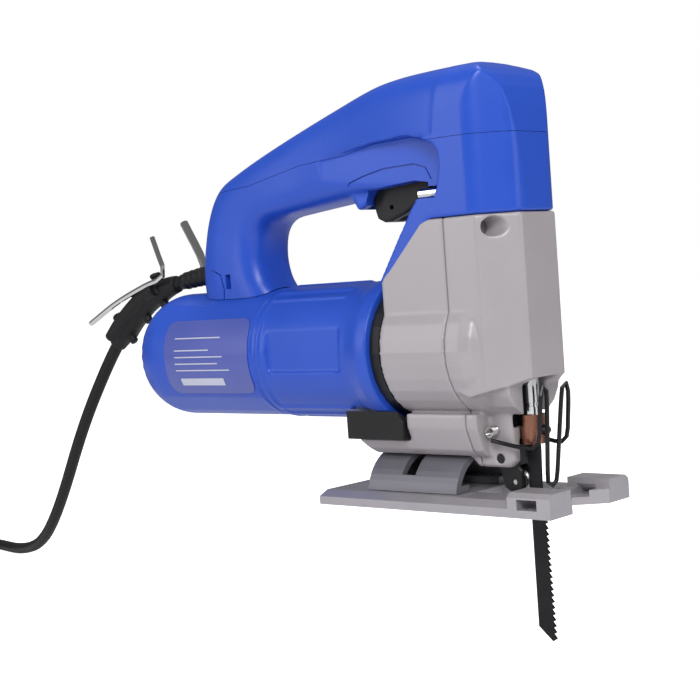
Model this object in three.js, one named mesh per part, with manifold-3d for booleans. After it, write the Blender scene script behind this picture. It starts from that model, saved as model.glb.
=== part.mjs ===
// A corded jigsaw: a D-handle above a barrel motor, a metal gear case with a reciprocating plunger,
// and a tilting sole plate. Millimetres, +Z up, +X towards the cutting end. The origin is the centre
// of the sole's underside, where the tool rests on the work.

import * as THREE from 'three';
import { mergeVertices } from 'three/addons/utils/BufferGeometryUtils.js';
import Module from 'manifold-3d';

const wasm = await Module();
wasm.setup();

// ---- driving dimensions -------------------------------------------------------------------------

const gap = 0.3; // between pieces that touch
const running = 0.4; // between pieces that move past each other

const soleLength = 131;
const soleWidth = 61;
const soleThick = 6.2;
const soleEdge = 3.8; // height of the upright edge, below the bevel
const soleBevel = 5.6; // width of the bevel along each long side

const bladeX = 38; // blade and plunger axis, ahead of the origin
const frontX = 48; // front face of the gear case
const caseRearX = -21; // rear face of the gear case
const partingX = 16; // joint between the two gear case castings
const headZ = 128.2; // top face of the gear case
const noseZ = 57; // underside of the gear case's front wall
const headHalf = 26.4; // half width of the gear case
const noseHalf = 12.5; // half width of its flat front face

const motorZ = 70.5; // motor axis
const motorR = 32; // outside radius of the barrel
const wall = 3;
const barrelFrontX = -27;
const barrelRearX = -101;
const capEndX = -202;
const capRound = 24; // rounding of the cap's closed end

const gripHalf = 17; // half width of the handle
const handleTopZ = 195;
const splitZ = 162; // joint between the handle's two shells, at the head

const tiltZ = 3; // bevel axis, parallel to X
const bracketR = 21;
const bracketWall = 3;
const tiltRange = 45; // degrees to each side

const stroke = 18;
const module_ = 0.7; // gear tooth size
const pinionTeeth = 6;
const gearTeeth = 48;
const shaftR = 4;

const plungerR = 3.6;
const clampR = 5.6; // blade clamp collar
const clampTopZ = 40.3;
const clampHeight = 12.8;
const bladeThick = 1.2;
const bladeWidth = 7.2;
const bladeTipZ = -60;
const toothPitch = 2.7;

const surfaceZ = -62; // what the free cord lies on, just below the blade's tip
const cordR = 3.5;

// ---- helpers ------------------------------------------------------------------------------------

const motorTop = motorZ + motorR;

function toSolid(geometry) {
  const bare = geometry.clone();
  bare.deleteAttribute('normal');
  bare.deleteAttribute('uv');
  const merged = mergeVertices(bare, 1e-4);
  return new wasm.Manifold(new wasm.Mesh({
    numProp: 3,
    vertProperties: new Float32Array(merged.attributes.position.array),
    triVerts: new Uint32Array(merged.index.array),
  }));
}

function toGeometry(solid) {
  const result = solid.getMesh();
  const geometry = new THREE.BufferGeometry();
  geometry.setAttribute('position', new THREE.BufferAttribute(result.vertProperties, 3));
  geometry.setIndex(new THREE.BufferAttribute(result.triVerts, 1));
  geometry.computeVertexNormals();
  return geometry;
}

function union(...solids) {
  return solids.reduce((sum, solid) => sum.add(solid));
}

function cut(solid, ...tools) {
  return tools.reduce((rest, tool) => rest.subtract(tool), solid);
}

function shapeOf(points) {
  return new THREE.Shape(points.map(([a, b]) => new THREE.Vector2(a, b)));
}

// A flat outline made thick along local +Z, with edges rounded by `round`.
function slab(points, thickness, round = 0, segments = 3) {
  const options = { depth: thickness - 2 * round, bevelEnabled: round > 0, curveSegments: 12 };
  Object.assign(options, { bevelThickness: round, bevelSize: round, bevelOffset: -round });
  options.bevelSegments = segments;
  const geometry = new THREE.ExtrudeGeometry(shapeOf(points), options);
  geometry.translate(0, 0, round);
  return geometry;
}

// Outline in X and Z, thick along Y from y0 to y1.
function sideSlab(points, y0, y1, round, segments) {
  return toSolid(slab(points, y1 - y0, round, segments).rotateX(Math.PI / 2).translate(0, y1, 0));
}

// Outline in X and Y, thick along Z.
function planSlab(points, z0, z1) {
  return toSolid(slab(points, z1 - z0).translate(0, 0, z0));
}

// Outline in Y and Z, thick along X.
function crossSlab(points, x0, x1, round, segments) {
  const geometry = slab(points, x1 - x0, round, segments);
  return toSolid(geometry.rotateX(Math.PI / 2).rotateZ(Math.PI / 2).translate(x0, 0, 0));
}

function box(x0, x1, y0, y1, z0, z1) {
  const geometry = new THREE.BoxGeometry(x1 - x0, y1 - y0, z1 - z0);
  return toSolid(geometry.translate((x0 + x1) / 2, (y0 + y1) / 2, (z0 + z1) / 2));
}

// A body turned about the X axis through (y, z). Profile points are [x, radius].
function turnedX(profile, y = 0, z = motorZ, sides = 32) {
  const points = profile.map(([x, r]) => new THREE.Vector2(r, x));
  const geometry = new THREE.LatheGeometry(points, sides);
  return toSolid(geometry.rotateZ(-Math.PI / 2).translate(0, y, z));
}

function turnedY(profile, x, z, sides = 24) {
  const points = profile.map(([y, r]) => new THREE.Vector2(r, y));
  return toSolid(new THREE.LatheGeometry(points, sides).translate(x, 0, z));
}

function turnedZ(profile, x, y, sides = 24) {
  const points = profile.map(([z, r]) => new THREE.Vector2(r, z));
  return toSolid(new THREE.LatheGeometry(points, sides).rotateX(Math.PI / 2).translate(x, y, 0));
}

function rod(low, high, radius) {
  return [[low, 0], [low, radius], [high, radius], [high, 0]];
}

function ring(low, high, inner, outer) {
  return [[low, inner], [low, outer], [high, outer], [high, inner], [low, inner]];
}

const rodX = (x0, x1, r, y, z, sides) => turnedX(rod(x0, x1, r), y, z, sides);
const rodY = (y0, y1, r, x, z, sides) => turnedY(rod(y0, y1, r), x, z, sides);
const rodZ = (z0, z1, r, x, y, sides) => turnedZ(rod(z0, z1, r), x, y, sides);

// A section carried along a curve, as for a wire or a cord.
function swept(curve, radius, steps, sides, hole = 0) {
  const arcSteps = sides / 2; // a full arc is drawn with twice its curveSegments
  const circle = new THREE.Shape();
  circle.absarc(0, 0, radius, 0, 2 * Math.PI);
  if (hole > 0) {
    const inner = new THREE.Path();
    inner.absarc(0, 0, hole, 0, 2 * Math.PI, true);
    circle.holes.push(inner);
  }
  const options = { extrudePath: curve, steps, curveSegments: arcSteps, bevelEnabled: false };
  return toSolid(new THREE.ExtrudeGeometry(circle, options));
}

function curveThrough(points) {
  const path = points.map(([x, y, z]) => new THREE.Vector3(x, y, z));
  return new THREE.CatmullRomCurve3(path, false, 'centripetal');
}

function arcPoints(cx, cy, radius, from, to, count) {
  const points = [];
  for (let i = 0; i <= count; i += 1) {
    const angle = THREE.MathUtils.degToRad(from + ((to - from) * i) / count);
    points.push([cx + radius * Math.cos(angle), cy + radius * Math.sin(angle)]);
  }
  return points;
}

const finishes = {
  shellBlue: { color: 0x3560d8, roughness: 0.42, metalness: 0 },
  castGray: { color: 0xa79fa8, roughness: 0.5, metalness: 0.35 },
  soleGray: { color: 0xb7b0b8, roughness: 0.45, metalness: 0.5 },
  bracketGray: { color: 0x6c6b74, roughness: 0.5, metalness: 0.6 },
  black: { color: 0x141416, roughness: 0.6, metalness: 0 },
  rubber: { color: 0x18181a, roughness: 0.8, metalness: 0 },
  blackSteel: { color: 0x1d1d21, roughness: 0.4, metalness: 0.8 },
  steel: { color: 0xb8b8bc, roughness: 0.3, metalness: 1 },
  chrome: { color: 0xdcdce0, roughness: 0.12, metalness: 1 },
  copper: { color: 0xa8694f, roughness: 0.35, metalness: 1 },
  brass: { color: 0xb39a55, roughness: 0.35, metalness: 1 },
  label: { color: 0x4c5ab4, roughness: 0.45, metalness: 0 },
};

const tool = new THREE.Group();

function add(group, name, solid, finish) {
  const material = new THREE.MeshStandardMaterial(finishes[finish]);
  const mesh = new THREE.Mesh(toGeometry(solid), material);
  mesh.name = name;
  group.add(mesh);
}

// ---- sole plate and bevel bracket ---------------------------------------------------------------

const sole = new THREE.Group();
tool.add(sole);

const soleHalf = soleWidth / 2;
const soleFront = soleLength / 2;
const slotHalf = 10; // half the clear width around the blade and its roller
const throatHalf = 4.2; // narrowest part of the slot, ahead of the blade
const mouthHalf = 15;
const slotRear = 12;
const throatX = bladeX + 14.8;
const horn = { rear: 43.7, height: 10.5, sideHeight: 8.6, bevel: 2.5 };
const fence = { x0: 48.6, x1: 58.8, z0: 3.4, z1: 7.9 };
const bracket = { x0: -43, x1: 9 };
const clampX = -20;
const bracketFootIn = 11;
const bracketScrewY = 14;
const bracketScrewX = [bracket.x0 + 7, bracket.x1 - 7];

function makeBasePlate() {
  const top = soleHalf - soleBevel;
  const section = [[-soleHalf, 0], [soleHalf, 0], [soleHalf, soleEdge], [top, soleThick]];
  section.push([-top, soleThick], [-soleHalf, soleEdge]);
  let plate = crossSlab(section, -soleFront, soleFront);
  for (const side of [-1, 1]) {
    const edge = soleHalf - horn.bevel;
    const outline = [[mouthHalf, 0], [soleHalf, 0], [soleHalf, horn.sideHeight], [edge, horn.height]];
    outline.push([mouthHalf, horn.height]);
    const points = outline.map(([y, z]) => [side * y, z]);
    if (side < 0) points.reverse();
    plate = plate.add(crossSlab(points, horn.rear, soleFront));
  }
  const past = soleFront + 1;
  const slot = [[slotRear, -slotHalf], [bladeX + 11, -slotHalf], [throatX, -throatHalf]];
  slot.push([past, -mouthHalf], [past, mouthHalf], [throatX, throatHalf]);
  slot.push([bladeX + 11, slotHalf], [slotRear, slotHalf]);
  plate = plate.subtract(planSlab(slot, -1, soleThick + 1));
  plate = plate.subtract(box(fence.x0, fence.x1, -soleWidth, soleWidth, fence.z0, fence.z1));
  for (const side of [-1, 1]) {
    plate = plate.subtract(rodZ(-1, soleThick + 1, 1.6, -soleFront + 3.2, side * 13.5, 12));
    plate = plate.subtract(rodZ(-1, soleThick + 1, 1.6, bracket.x1 + 3.7, side * 14.3, 12));
    for (const x of bracketScrewX) {
      plate = plate.subtract(rodZ(-1, soleThick + 1, 2.2, x, side * bracketScrewY, 12));
      plate = plate.subtract(rodZ(-1, 2.8, 3.8, x, side * bracketScrewY, 12));
    }
  }
  return plate.subtract(rodZ(-1, soleThick + 1, 5.5, clampX, 0, 16));
}

add(sole, 'base_plate', makeBasePlate(), 'soleGray');

const bracketFloor = soleThick + gap;

function makeBracket() {
  const outer = turnedX(rod(bracket.x0, bracket.x1, bracketR), 0, tiltZ, 48);
  const bore = turnedX(rod(bracket.x0 - 1, bracket.x1 + 1, bracketR - bracketWall), 0, tiltZ, 48);
  const above = box(bracket.x0 - 1, bracket.x1 + 1, -soleHalf, soleHalf, bracketFloor, headZ);
  let dome = outer.subtract(bore).intersect(above);
  for (const side of [-1, 1]) {
    const foot = [side * bracketFootIn, side * (bracketR - 2)].sort((a, b) => a - b);
    dome = dome.add(box(bracket.x0, bracket.x1, foot[0], foot[1], bracketFloor, bracketFloor + bracketWall));
    for (const x of bracketScrewX) {
      dome = dome.subtract(rodZ(0, bracketFloor + bracketWall + 1, 2.2, x, side * bracketScrewY, 12));
    }
  }
  const slotAngle = THREE.MathUtils.degToRad(tiltRange + 14);
  const slotReach = bracketR * Math.sin(slotAngle);
  const slotFloor = tiltZ + (bracketR - bracketWall) * Math.cos(slotAngle);
  return dome.subtract(box(clampX - 4, clampX + 4, -slotReach, slotReach, slotFloor, headZ));
}

add(sole, 'tilt_bracket', makeBracket(), 'bracketGray');

let bracketScrewCount = 0;
for (const x of bracketScrewX) {
  for (const side of [-1, 1]) {
    bracketScrewCount += 1;
    const profile = [[0.5, 0], [0.5, 3.4], [2.4, 3.4], [2.5, 1.9]];
    profile.push([bracketFloor + bracketWall - 0.5, 1.9], [bracketFloor + bracketWall - 0.5, 0]);
    const screw = turnedZ(profile, x, side * bracketScrewY, 12);
    add(sole, `bracket_screw_${bracketScrewCount}`, screw, 'steel');
  }
}

// ---- gear case ----------------------------------------------------------------------------------

const body = new THREE.Group();
tool.add(body);

const flatX = frontX - (headHalf - noseHalf); // where the side face turns into the 45 degree face
const gearR = (module_ * gearTeeth) / 2;
const pinionR = (module_ * pinionTeeth) / 2;
const gearZ = motorZ + gearR + pinionR + 0.15;
const gear = { x0: 5, x1: 13 };
const spineTopX = 3; // the case's rear edge slopes from here down to spineZ
const spineZ = motorTop + 1.5;
const webX = [-9, 0]; // the wall that carries the motor's front bearing
const bearing = { outer: 11, width: 7 };
const gearShaftR = 5;
const tongue = { half: 10, x0: 10, x1: 34, z: 17.5 };
const footHalf = 20;
const footZ = 22.6;
const footX = [bracket.x0, partingX];
const ductX = [-53, -18];
const ductZ = [30, 46];
const chinX = [24, 40];
const chinHalf = 20;
const bushR = 6.4;
const lowerBush = [noseZ + 1, noseZ + 12];
const upperBush = [gearZ + stroke / 2 + 6.2, headZ - wall];
const casescrew = { y: 20.5, z: headZ - 5.4, wellR: 4.2, seatX: 29 };
const seal = { x0: 27, x1: bladeX - clampR - running, half: 7, z0: 41 };
const forkSlotHalf = 5;
const pivot = { x: 26.4, z: 21.5, r: 2 };

function headPlan(inset) {
  const half = headHalf - inset;
  const corner = flatX - inset * 0.41;
  const flat = noseHalf - inset * 0.41;
  const points = [[caseRearX - 1, -half], [corner, -half], [frontX - inset, -flat]];
  points.push([frontX - inset, flat], [corner, half], [caseRearX - 1, half]);
  return points;
}

function makeGearCase() {
  const side = [[caseRearX, motorZ], [caseRearX, spineZ], [spineTopX, headZ]];
  side.push([frontX, headZ], [frontX, noseZ], [chinX[1], noseZ - 3], [chinX[0], noseZ - 7]);
  const head = sideSlab(side.reverse(), -headHalf, headHalf).intersect(planSlab(headPlan(0), 0, handleTopZ));

  const bulgeR = motorR - 0.5;
  const bulge = turnedX([[caseRearX, 0], [caseRearX, bulgeR], [24, bulgeR], [29, bulgeR - 1.6], [32, bulgeR - 5],
    [33, bulgeR - 9], [33, 0]]);
  const bulgeTop = box(caseRearX - 1, 40, -soleHalf * 2, soleHalf * 2, 0, motorZ + 21.5);

  const foot = [[-footHalf, 42], [-footHalf, 36], [-15.5, footZ + 2.6], [-12.5, footZ], [12.5, footZ]];
  foot.push([15.5, footZ + 2.6], [footHalf, 36], [footHalf, 42]);
  const footSide = [[ductX[0] + 3, ductZ[0] - gap], [footX[0], footZ], [footX[1] + 6, footZ], [footX[1] + 6, 45]];
  footSide.push([ductX[1] + gap, 45], [ductX[1] + gap, ductZ[0] - gap]);
  const footBody = crossSlab(foot, ductX[0], footX[1] + 6).intersect(sideSlab(footSide, -footHalf, footHalf));

  const r = 3;
  const tongueSide = [[tongue.x0, noseZ], [tongue.x0, tongue.z + 4], [tongue.x0 + 4, tongue.z]];
  tongueSide.push([tongue.x1 - r, tongue.z], [tongue.x1, tongue.z + r], [tongue.x1, noseZ]);
  const tongueBody = sideSlab(tongueSide, -tongue.half, tongue.half, 1.2, 1);

  const chin = [[-chinHalf, noseZ + 4], [-chinHalf, noseZ - 1], [-18.5, noseZ - 7], [-15, noseZ - 12], [-9, noseZ - 16]];
  chin.push([9, noseZ - 16], [15, noseZ - 12], [18.5, noseZ - 7], [chinHalf, noseZ - 1], [chinHalf, noseZ + 4]);
  const chinBody = crossSlab(chin, chinX[0], chinX[1]);

  let shell = union(head, bulge.intersect(bulgeTop), footBody, tongueBody, chinBody);

  const inside = planSlab(headPlan(wall), lowerBush[1] + 3, headZ - wall)
    .intersect(box(webX[1], frontX, -headHalf, headHalf, 0, headZ));
  const bossHalf = 6.2;
  const keepTop = box(bladeX - 8, frontX, -8, 8, upperBush[0] - 0.5, headZ);
  const keepLeft = box(webX[1] - 1, frontX, -headHalf, -casescrew.y + bossHalf, casescrew.z - bossHalf, headZ);
  const keepRight = box(webX[1] - 1, frontX, casescrew.y - bossHalf, headHalf, casescrew.z - bossHalf, headZ);
  shell = cut(shell, cut(inside, keepTop, keepLeft, keepRight));

  const fanRoom = turnedX(rod(caseRearX - 1, webX[0], motorR - 4));
  const pinionRoom = rodX(webX[1] - 1, gear.x1 + 3, bearing.outer, 0, motorZ, 32);
  const bearingSeat = turnedX(rod(webX[0] - 1, webX[0] + 8 + gap, bearing.outer + gap / 2), 0, motorZ, 32);
  const shaftHole = rodX(webX[0] - 1, webX[1] + 1, gearShaftR + gap / 2, 0, gearZ, 24);
  shell = cut(shell, fanRoom, pinionRoom, bearingSeat, shaftHole);

  shell = cut(shell, rodZ(0, lowerBush[0] + 0.2, plungerR + 1.4, bladeX, 0));
  shell = cut(shell, rodZ(lowerBush[0] - gap, lowerBush[1] + 8, bushR + gap / 2, bladeX, 0));
  shell = cut(shell, rodZ(upperBush[0] - 1, upperBush[1] + gap, bushR + gap / 2, bladeX, 0));
  const mouth = [[seal.x0 - gap, noseZ - 30], [seal.x0 - gap, noseZ], [frontX + 5, noseZ], [frontX + 5, noseZ - 30]];
  shell = cut(shell, sideSlab(mouth, -8.4, 8.4).intersect(box(tongue.x1 - 9, frontX + 9, -9, 9, seal.z0 - 6, noseZ + 0.1)));
  shell = cut(shell, box(tongue.x1 - 0.01, frontX, -12, 12, 0, seal.z0 - 0.5));
  shell = cut(shell, turnedX(rod(ductX[0] - 1, partingX + 30, bracketR + gap), 0, tiltZ, 48)
    .intersect(box(ductX[0] - 1, tongue.x0, -headHalf, headHalf, 0, 30)));
  shell = cut(shell, box(pivot.x - 8, tongue.x1 + 1, -forkSlotHalf, forkSlotHalf, tongue.z - 1, pivot.z + 8));
  shell = cut(shell, rodY(-tongue.half - 1, tongue.half + 1, pivot.r + gap / 2, pivot.x, pivot.z, 16));
  shell = cut(shell, rodZ(0, ductZ[0], 2.8 + gap / 2, clampX, 0, 16));
  shell = cut(shell, rodZ(0, noseZ, clampR + running, bladeX, 0, 32));
  for (const side2 of [-1, 1]) {
    const y = side2 * casescrew.y;
    shell = cut(shell, rodX(casescrew.seatX, frontX + 5, casescrew.wellR, y, casescrew.z, 20));
    shell = cut(shell, rodX(partingX - 9, frontX, 2.15, y, casescrew.z, 12));
  }
  return shell;
}

const gearCase = makeGearCase();
const everything = 400;
const rearHalf = box(-everything, partingX - gap / 2, -everything, everything, -everything, everything);
const frontHalf = box(partingX + gap / 2, everything, -everything, everything, -everything, everything);
add(body, 'gear_housing_rear', gearCase.intersect(rearHalf), 'castGray');
add(body, 'gear_housing_front', gearCase.intersect(frontHalf), 'castGray');

for (const [label, side] of [['right', -1], ['left', 1]]) {
  const profile = [[partingX - 8, 0], [partingX - 8, 1.9], [casescrew.seatX + gap, 1.9]];
  profile.push([casescrew.seatX + gap, 3.8], [casescrew.seatX + 3.3, 3.8], [casescrew.seatX + 3.3, 0]);
  add(body, `case_screw_${label}`, turnedX(profile, side * casescrew.y, casescrew.z, 12), 'steel');
}

const baffle = turnedX(ring(barrelFrontX + gap, caseRearX - gap, 20, motorR - 0.6));
add(body, 'baffle_ring', baffle, 'black');

const clampTop = ductZ[0] - gap - 0.2;
const clampScrew = turnedZ([[17, 0], [17, 4.6], [20, 4.6], [20, 2.8], [clampTop, 2.8], [clampTop, 0]], clampX, 0, 16);
add(body, 'bevel_clamp_screw', clampScrew, 'steel');

function makeDuct() {
  const side = [[ductX[0], ductZ[0]], [ductX[1], ductZ[0]], [ductX[1], 38], [ductX[1] - 5, ductZ[1]]];
  side.push([ductX[0], ductZ[1]]);
  const block = sideSlab(side, -18, 18, 1.5, 1);
  const barrelRoom = turnedX(rod(ductX[0] - 1, barrelFrontX + 1, motorR + 2.3 + gap));
  const caseRoom = turnedX(rod(barrelFrontX, 0, motorR + 2));
  const port = box(ductX[0] - 1, ductX[1] - 8, -9, 9, ductZ[0] + 2.2, 36.6);
  return cut(block, barrelRoom, caseRoom, port);
}

add(body, 'dust_duct', makeDuct(), 'black');

// ---- barrel, rear cap and label -----------------------------------------------------------------

const flareR = motorR + 1.8;
const barrelInner = motorR - wall;
const barrel = turnedX([[barrelRearX, barrelInner], [barrelRearX, motorR], [-52, motorR], [-40, motorR + 0.5],
  [barrelFrontX, flareR], [barrelFrontX, barrelInner], [barrelRearX, barrelInner]]);
add(body, 'motor_housing', barrel, 'shellBlue');

const rearBearingX = -187;

function makeRearCap() {
  const open = barrelRearX - gap;
  const bend = capEndX + capRound;
  const outside = arcPoints(bend, motorR - capRound, capRound, 90, 180, 6);
  const inside = arcPoints(bend, motorR - capRound, capRound - wall, 180, 90, 4);
  const profile = [[open, motorR], ...outside, [capEndX, 0], [capEndX + wall, 0], ...inside];
  profile.push([open, barrelInner], [open, motorR]);
  const boss = turnedX(ring(capEndX + wall - 1, rearBearingX + bearing.width, bearing.outer + gap / 2,
    bearing.outer + wall), 0, motorZ, 32);
  let cap = turnedX(profile.reverse()).add(boss);
  const slotCount = 5;
  const slotPitch = 7.4;
  for (let i = 0; i < slotCount; i += 1) {
    const z = motorZ + (i - (slotCount - 1) / 2) * slotPitch;
    cap = cap.subtract(box(capEndX - 1, capEndX + 7, -19, 19, z - 1.4, z + 1.4));
  }
  return cap;
}

add(body, 'rear_cap', makeRearCap(), 'shellBlue');

function makeLabel() {
  const inner = arcPoints(0, motorZ, motorR + gap, 180 - 35, 180 + 35, 10);
  const outer = arcPoints(0, motorZ, motorR + gap + 0.5, 180 + 35, 180 - 35, 10);
  return crossSlab([...inner, ...outer], barrelRearX - 67, barrelRearX - 5);
}

add(body, 'rating_label', makeLabel(), 'label');

// ---- handle -------------------------------------------------------------------------------------

const footTop = motorTop + gap; // the handle's feet stand on the barrel
const jointZ = headZ + gap; // the handle's head stands on the gear case
const column = { rear: -154, front: -115 };
const relief = { z: 112, r: 5.4, seatR: 6.9 };
const reliefSeat = [-147, -138];
const trigger = { rear: -41, front: -2, half: 7.6, pinX: -9, pinZ: 151 };
const pinRest = { y: -10.6, z: 140.2, r: 2.6, x0: -7.5, x1: 15 }; // bright spring pin ahead of the trigger

function gripOutline() {
  const outer = [[column.rear + 1, footTop], [column.rear, 112], [column.rear + 2.5, 124], [column.rear + 6.5, 137]];
  outer.push([column.rear + 12, 148], [column.rear + 19, 156.5], [-124, 163], [-108, 170.5], [-86, 178]);
  outer.push([-60, 186], [-36, 192.5], [-18, handleTopZ - 0.6], [12, handleTopZ], [12, 150]);
  const inner = [[-10, 146.5], [-44, 147], [-56, 143.5], [-67, 140.6], [-90, 137], [-106, 134.2]];
  inner.push([-112, 129], [column.front, 118], [-113, 109], [-107, footTop]);
  return [...outer, ...inner];
}

function headOutline() {
  const front = [[frontX + 0.2, jointZ], [frontX, 143], [frontX - 1.2, 163], [frontX - 3.5, 180.5]];
  front.push([frontX - 6, 186.5], [frontX - 11, 191.7], [frontX - 18, handleTopZ - 0.4]);
  const clear = gap * 1.5; // sideways, for the same gap across the sloping edge
  const rear = [[10, handleTopZ], [-8, 190], [-5, 172], [7, 164], [13, 156], [13, 142], [4, 135]];
  rear.push([caseRearX - 6, spineZ + 1.2], [caseRearX - 6, spineZ + 0.7], [caseRearX - clear, spineZ + 0.3]);
  return [...front, ...rear, [spineTopX - clear, jointZ]];
}

function makeHandle() {
  const grip = sideSlab(gripOutline(), -gripHalf, gripHalf, 5, 3);
  const headBlock = sideSlab(headOutline(), -headHalf, headHalf);
  const top = [[-headHalf, jointZ - 40], [headHalf, jointZ - 40], [headHalf, 165], [22.5, 184], [15, 193]];
  top.push([9, handleTopZ + 1], [-9, handleTopZ + 1], [-15, 193], [-22.5, 184], [-headHalf, 165]);
  const rounded = crossSlab(top, -40, 60);
  const head = headBlock.intersect(rounded).intersect(planSlab(headPlan(0), 0, handleTopZ + 5));
  return grip.add(head);
}

function hollowHandle(handle) {
  const core = [[-140, 108], [-138, 136], [-130, 150], [-116, 160], [-60, 179], [-30, 187], [28, 187], [36, 180]];
  core.push([39, 150], [39, jointZ + 4], [12, jointZ + 4], [11, 148], [-10, 152], [-46, 152], [-68, 146]);
  core.push([-104, 141], [-119, 134], [-122, 118], [-120, 108]);
  const room = sideSlab(core.reverse(), -gripHalf + wall, gripHalf - wall);
  const triggerRoom = box(trigger.rear - 2, trigger.front + 3.2, -8.4, 8.4, 120, 156);
  const reliefHole = rodX(column.rear - 3, reliefSeat[1], relief.r + gap, 0, relief.z, 16)
    .add(rodX(reliefSeat[0] - gap, reliefSeat[1] + gap, relief.seatR + gap, 0, relief.z, 16));
  const springSeat = rodX(pinRest.x0, pinRest.x1 + gap, pinRest.r + gap, pinRest.y, pinRest.z, 12);
  const buttonHole = rodY(0, gripHalf + 4, 5, -52, 161, 16);
  const pinHole = rodY(-12.4, 12.4, 2.15, trigger.pinX, trigger.pinZ, 12);
  const screwTop = box(-everything, everything, -everything, everything, -everything, footTop - 0.01);
  return cut(handle, room, triggerRoom, reliefHole, springSeat, buttonHole, pinHole, screwTop.intersect(
    box(-170, caseRearX - 8, -40, 40, 0, footTop)));
}

const splitLine = [[80, splitZ], [-2, splitZ + 1], [-18, splitZ + 2], [-46, splitZ - 2], [-80, 152], [-122, 147]];
const lowRegion = [...splitLine, [-180, 146], [-180, 60], [80, 60]].map(([x, z]) => [x, z - gap / 2]);
const highRegion = [...splitLine, [-180, 146], [-180, 260], [80, 260]].map(([x, z]) => [x, z + gap / 2]);
const handle = hollowHandle(makeHandle());
add(body, 'handle_lower_shell', handle.intersect(sideSlab(lowRegion, -60, 60)), 'shellBlue');
add(body, 'handle_upper_shell', handle.intersect(sideSlab(highRegion.reverse(), -60, 60)), 'shellBlue');

add(body, 'switch_body', box(-64, -14, -9.5, 9.5, 158.5, 176), 'black');

// ---- trigger, dial and lock button --------------------------------------------------------------

const dial = { x: -28, z: 136.2, r: 6.2, half: 2.4 };

function makeTrigger() {
  const outline = [[trigger.rear, 148], [trigger.rear + 1, 143.5], [-38.4, 135], [-37.2, 131.4], [-33.5, 129.6]];
  outline.push([-29.5, 129.8], [-21, 132.6], [-14, 136], [-8, 140], [-3.4, 143], [trigger.front, 149], [-8, 154]);
  outline.push([-14, 153]);
  outline.push([-22, 149.6]);
  let solid = sideSlab(outline, -trigger.half, trigger.half, 1.4, 2);
  solid = cut(solid, rodY(-dial.half - running, dial.half + running, dial.r + running, dial.x, dial.z, 24));
  solid = cut(solid, rodY(-20, 20, 2.1, trigger.pinX, trigger.pinZ, 12));
  return cut(solid, rodY(-20, 20, 1.25, dial.x, dial.z, 8));
}

add(tool, 'trigger', makeTrigger(), 'black');
const triggerPin = rodY(-12.2, 12.2, 1.7, trigger.pinX, trigger.pinZ, 12);
add(body, 'trigger_pin', triggerPin, 'steel');
const triggerSpring = turnedX(ring(pinRest.x0, pinRest.x1, 1.5, pinRest.r), pinRest.y, pinRest.z, 12);
add(body, 'trigger_spring', triggerSpring, 'chrome');
const dialAxle = rod(-trigger.half + 0.4, trigger.half - 0.4, 1);
const speedDial = rodY(-dial.half, dial.half, dial.r, dial.x, dial.z, 24).add(turnedY(dialAxle, dial.x, dial.z, 8));
add(tool, 'speed_dial', speedDial, 'black');
const lockButton = turnedY([[12.2, 0], [12.2, 4.6], [gripHalf + 1.6, 4.6], [gripHalf + 2.6, 3.4], [gripHalf + 2.6, 0]],
  -52, 161, 16);
add(tool, 'lock_button', lockButton, 'black');

// ---- motor --------------------------------------------------------------------------------------

const core = { x0: -142, x1: -84, r: 17.6 };
const armature = new THREE.Group();
tool.add(armature);

// Straight-flanked gear outline, slimmer than nominal for backlash.
function gearOutline(teeth, radius, cy, cz, phase) {
  const points = [];
  const step = 360 / teeth;
  const tip = radius + module_ * 0.9;
  const root = radius - module_ * 1.15;
  for (let i = 0; i < teeth; i += 1) {
    for (const [share, r] of [[-0.3, root], [-0.12, tip], [0.12, tip], [0.3, root]]) {
      const angle = THREE.MathUtils.degToRad((i + share) * step + phase);
      points.push([cy + r * Math.cos(angle), cz + r * Math.sin(angle)]);
    }
  }
  return points;
}

const pinion = crossSlab(gearOutline(pinionTeeth, pinionR, 0, motorZ, 90 + 30), gear.x0 - 2, gear.x1 + 1);
const shaft = turnedX([[rearBearingX - 1, 0], [rearBearingX - 1, shaftR - gap / 2], [webX[1] + 1, shaftR - gap / 2],
  [webX[1] + 1, 1.3], [gear.x0 - 1, 1.3], [gear.x0 - 1, 0]], 0, motorZ, 20);
add(armature, 'armature_shaft', shaft.add(pinion), 'steel');

function makeArmatureCore() {
  const slots = 12;
  const outline = [];
  for (let i = 0; i < slots; i += 1) {
    const at = (share) => (i + share) * (360 / slots);
    outline.push(...arcPoints(0, motorZ, core.r, at(-0.38), at(0.38), 2));
    outline.push(...arcPoints(0, motorZ, core.r - 3.4, at(0.42), at(0.58), 1));
  }
  const block = crossSlab(outline, core.x0, core.x1);
  const windings = turnedX([[core.x0 - 10, 0], [core.x0 - 10, 8], [core.x0 - 6, 13.5], [core.x1 + 6, 13.5],
    [core.x1 + 9, 8], [core.x1 + 9, 0]], 0, motorZ, 20);
  return block.add(windings).subtract(rodX(-everything, everything, shaftR, 0, motorZ, 20));
}

add(armature, 'armature_core', makeArmatureCore(), 'copper');
const commutatorX = [-172, -158];
const commutator = turnedX(ring(commutatorX[0], commutatorX[1], shaftR, 10.5), 0, motorZ, 24);
add(armature, 'commutator', commutator, 'copper');

function makeFan() {
  const x0 = -46;
  const hub = turnedX(ring(x0, x0 + 12, shaftR, 9), 0, motorZ, 20);
  let fan = hub.add(turnedX(ring(x0, x0 + 2, shaftR + 2, 26), 0, motorZ, 32));
  const blades = 10;
  for (let i = 0; i < blades; i += 1) {
    const blade = new THREE.BoxGeometry(9, 1.6, 17.5).translate(x0 + 6, 0, 17);
    blade.rotateX((i * 2 * Math.PI) / blades).translate(0, 0, motorZ);
    fan = fan.add(toSolid(blade));
  }
  return fan;
}

add(armature, 'cooling_fan', makeFan(), 'black');

function makeBearing(x0) {
  return turnedX(ring(x0, x0 + bearing.width, shaftR, bearing.outer), 0, motorZ, 28);
}

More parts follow.
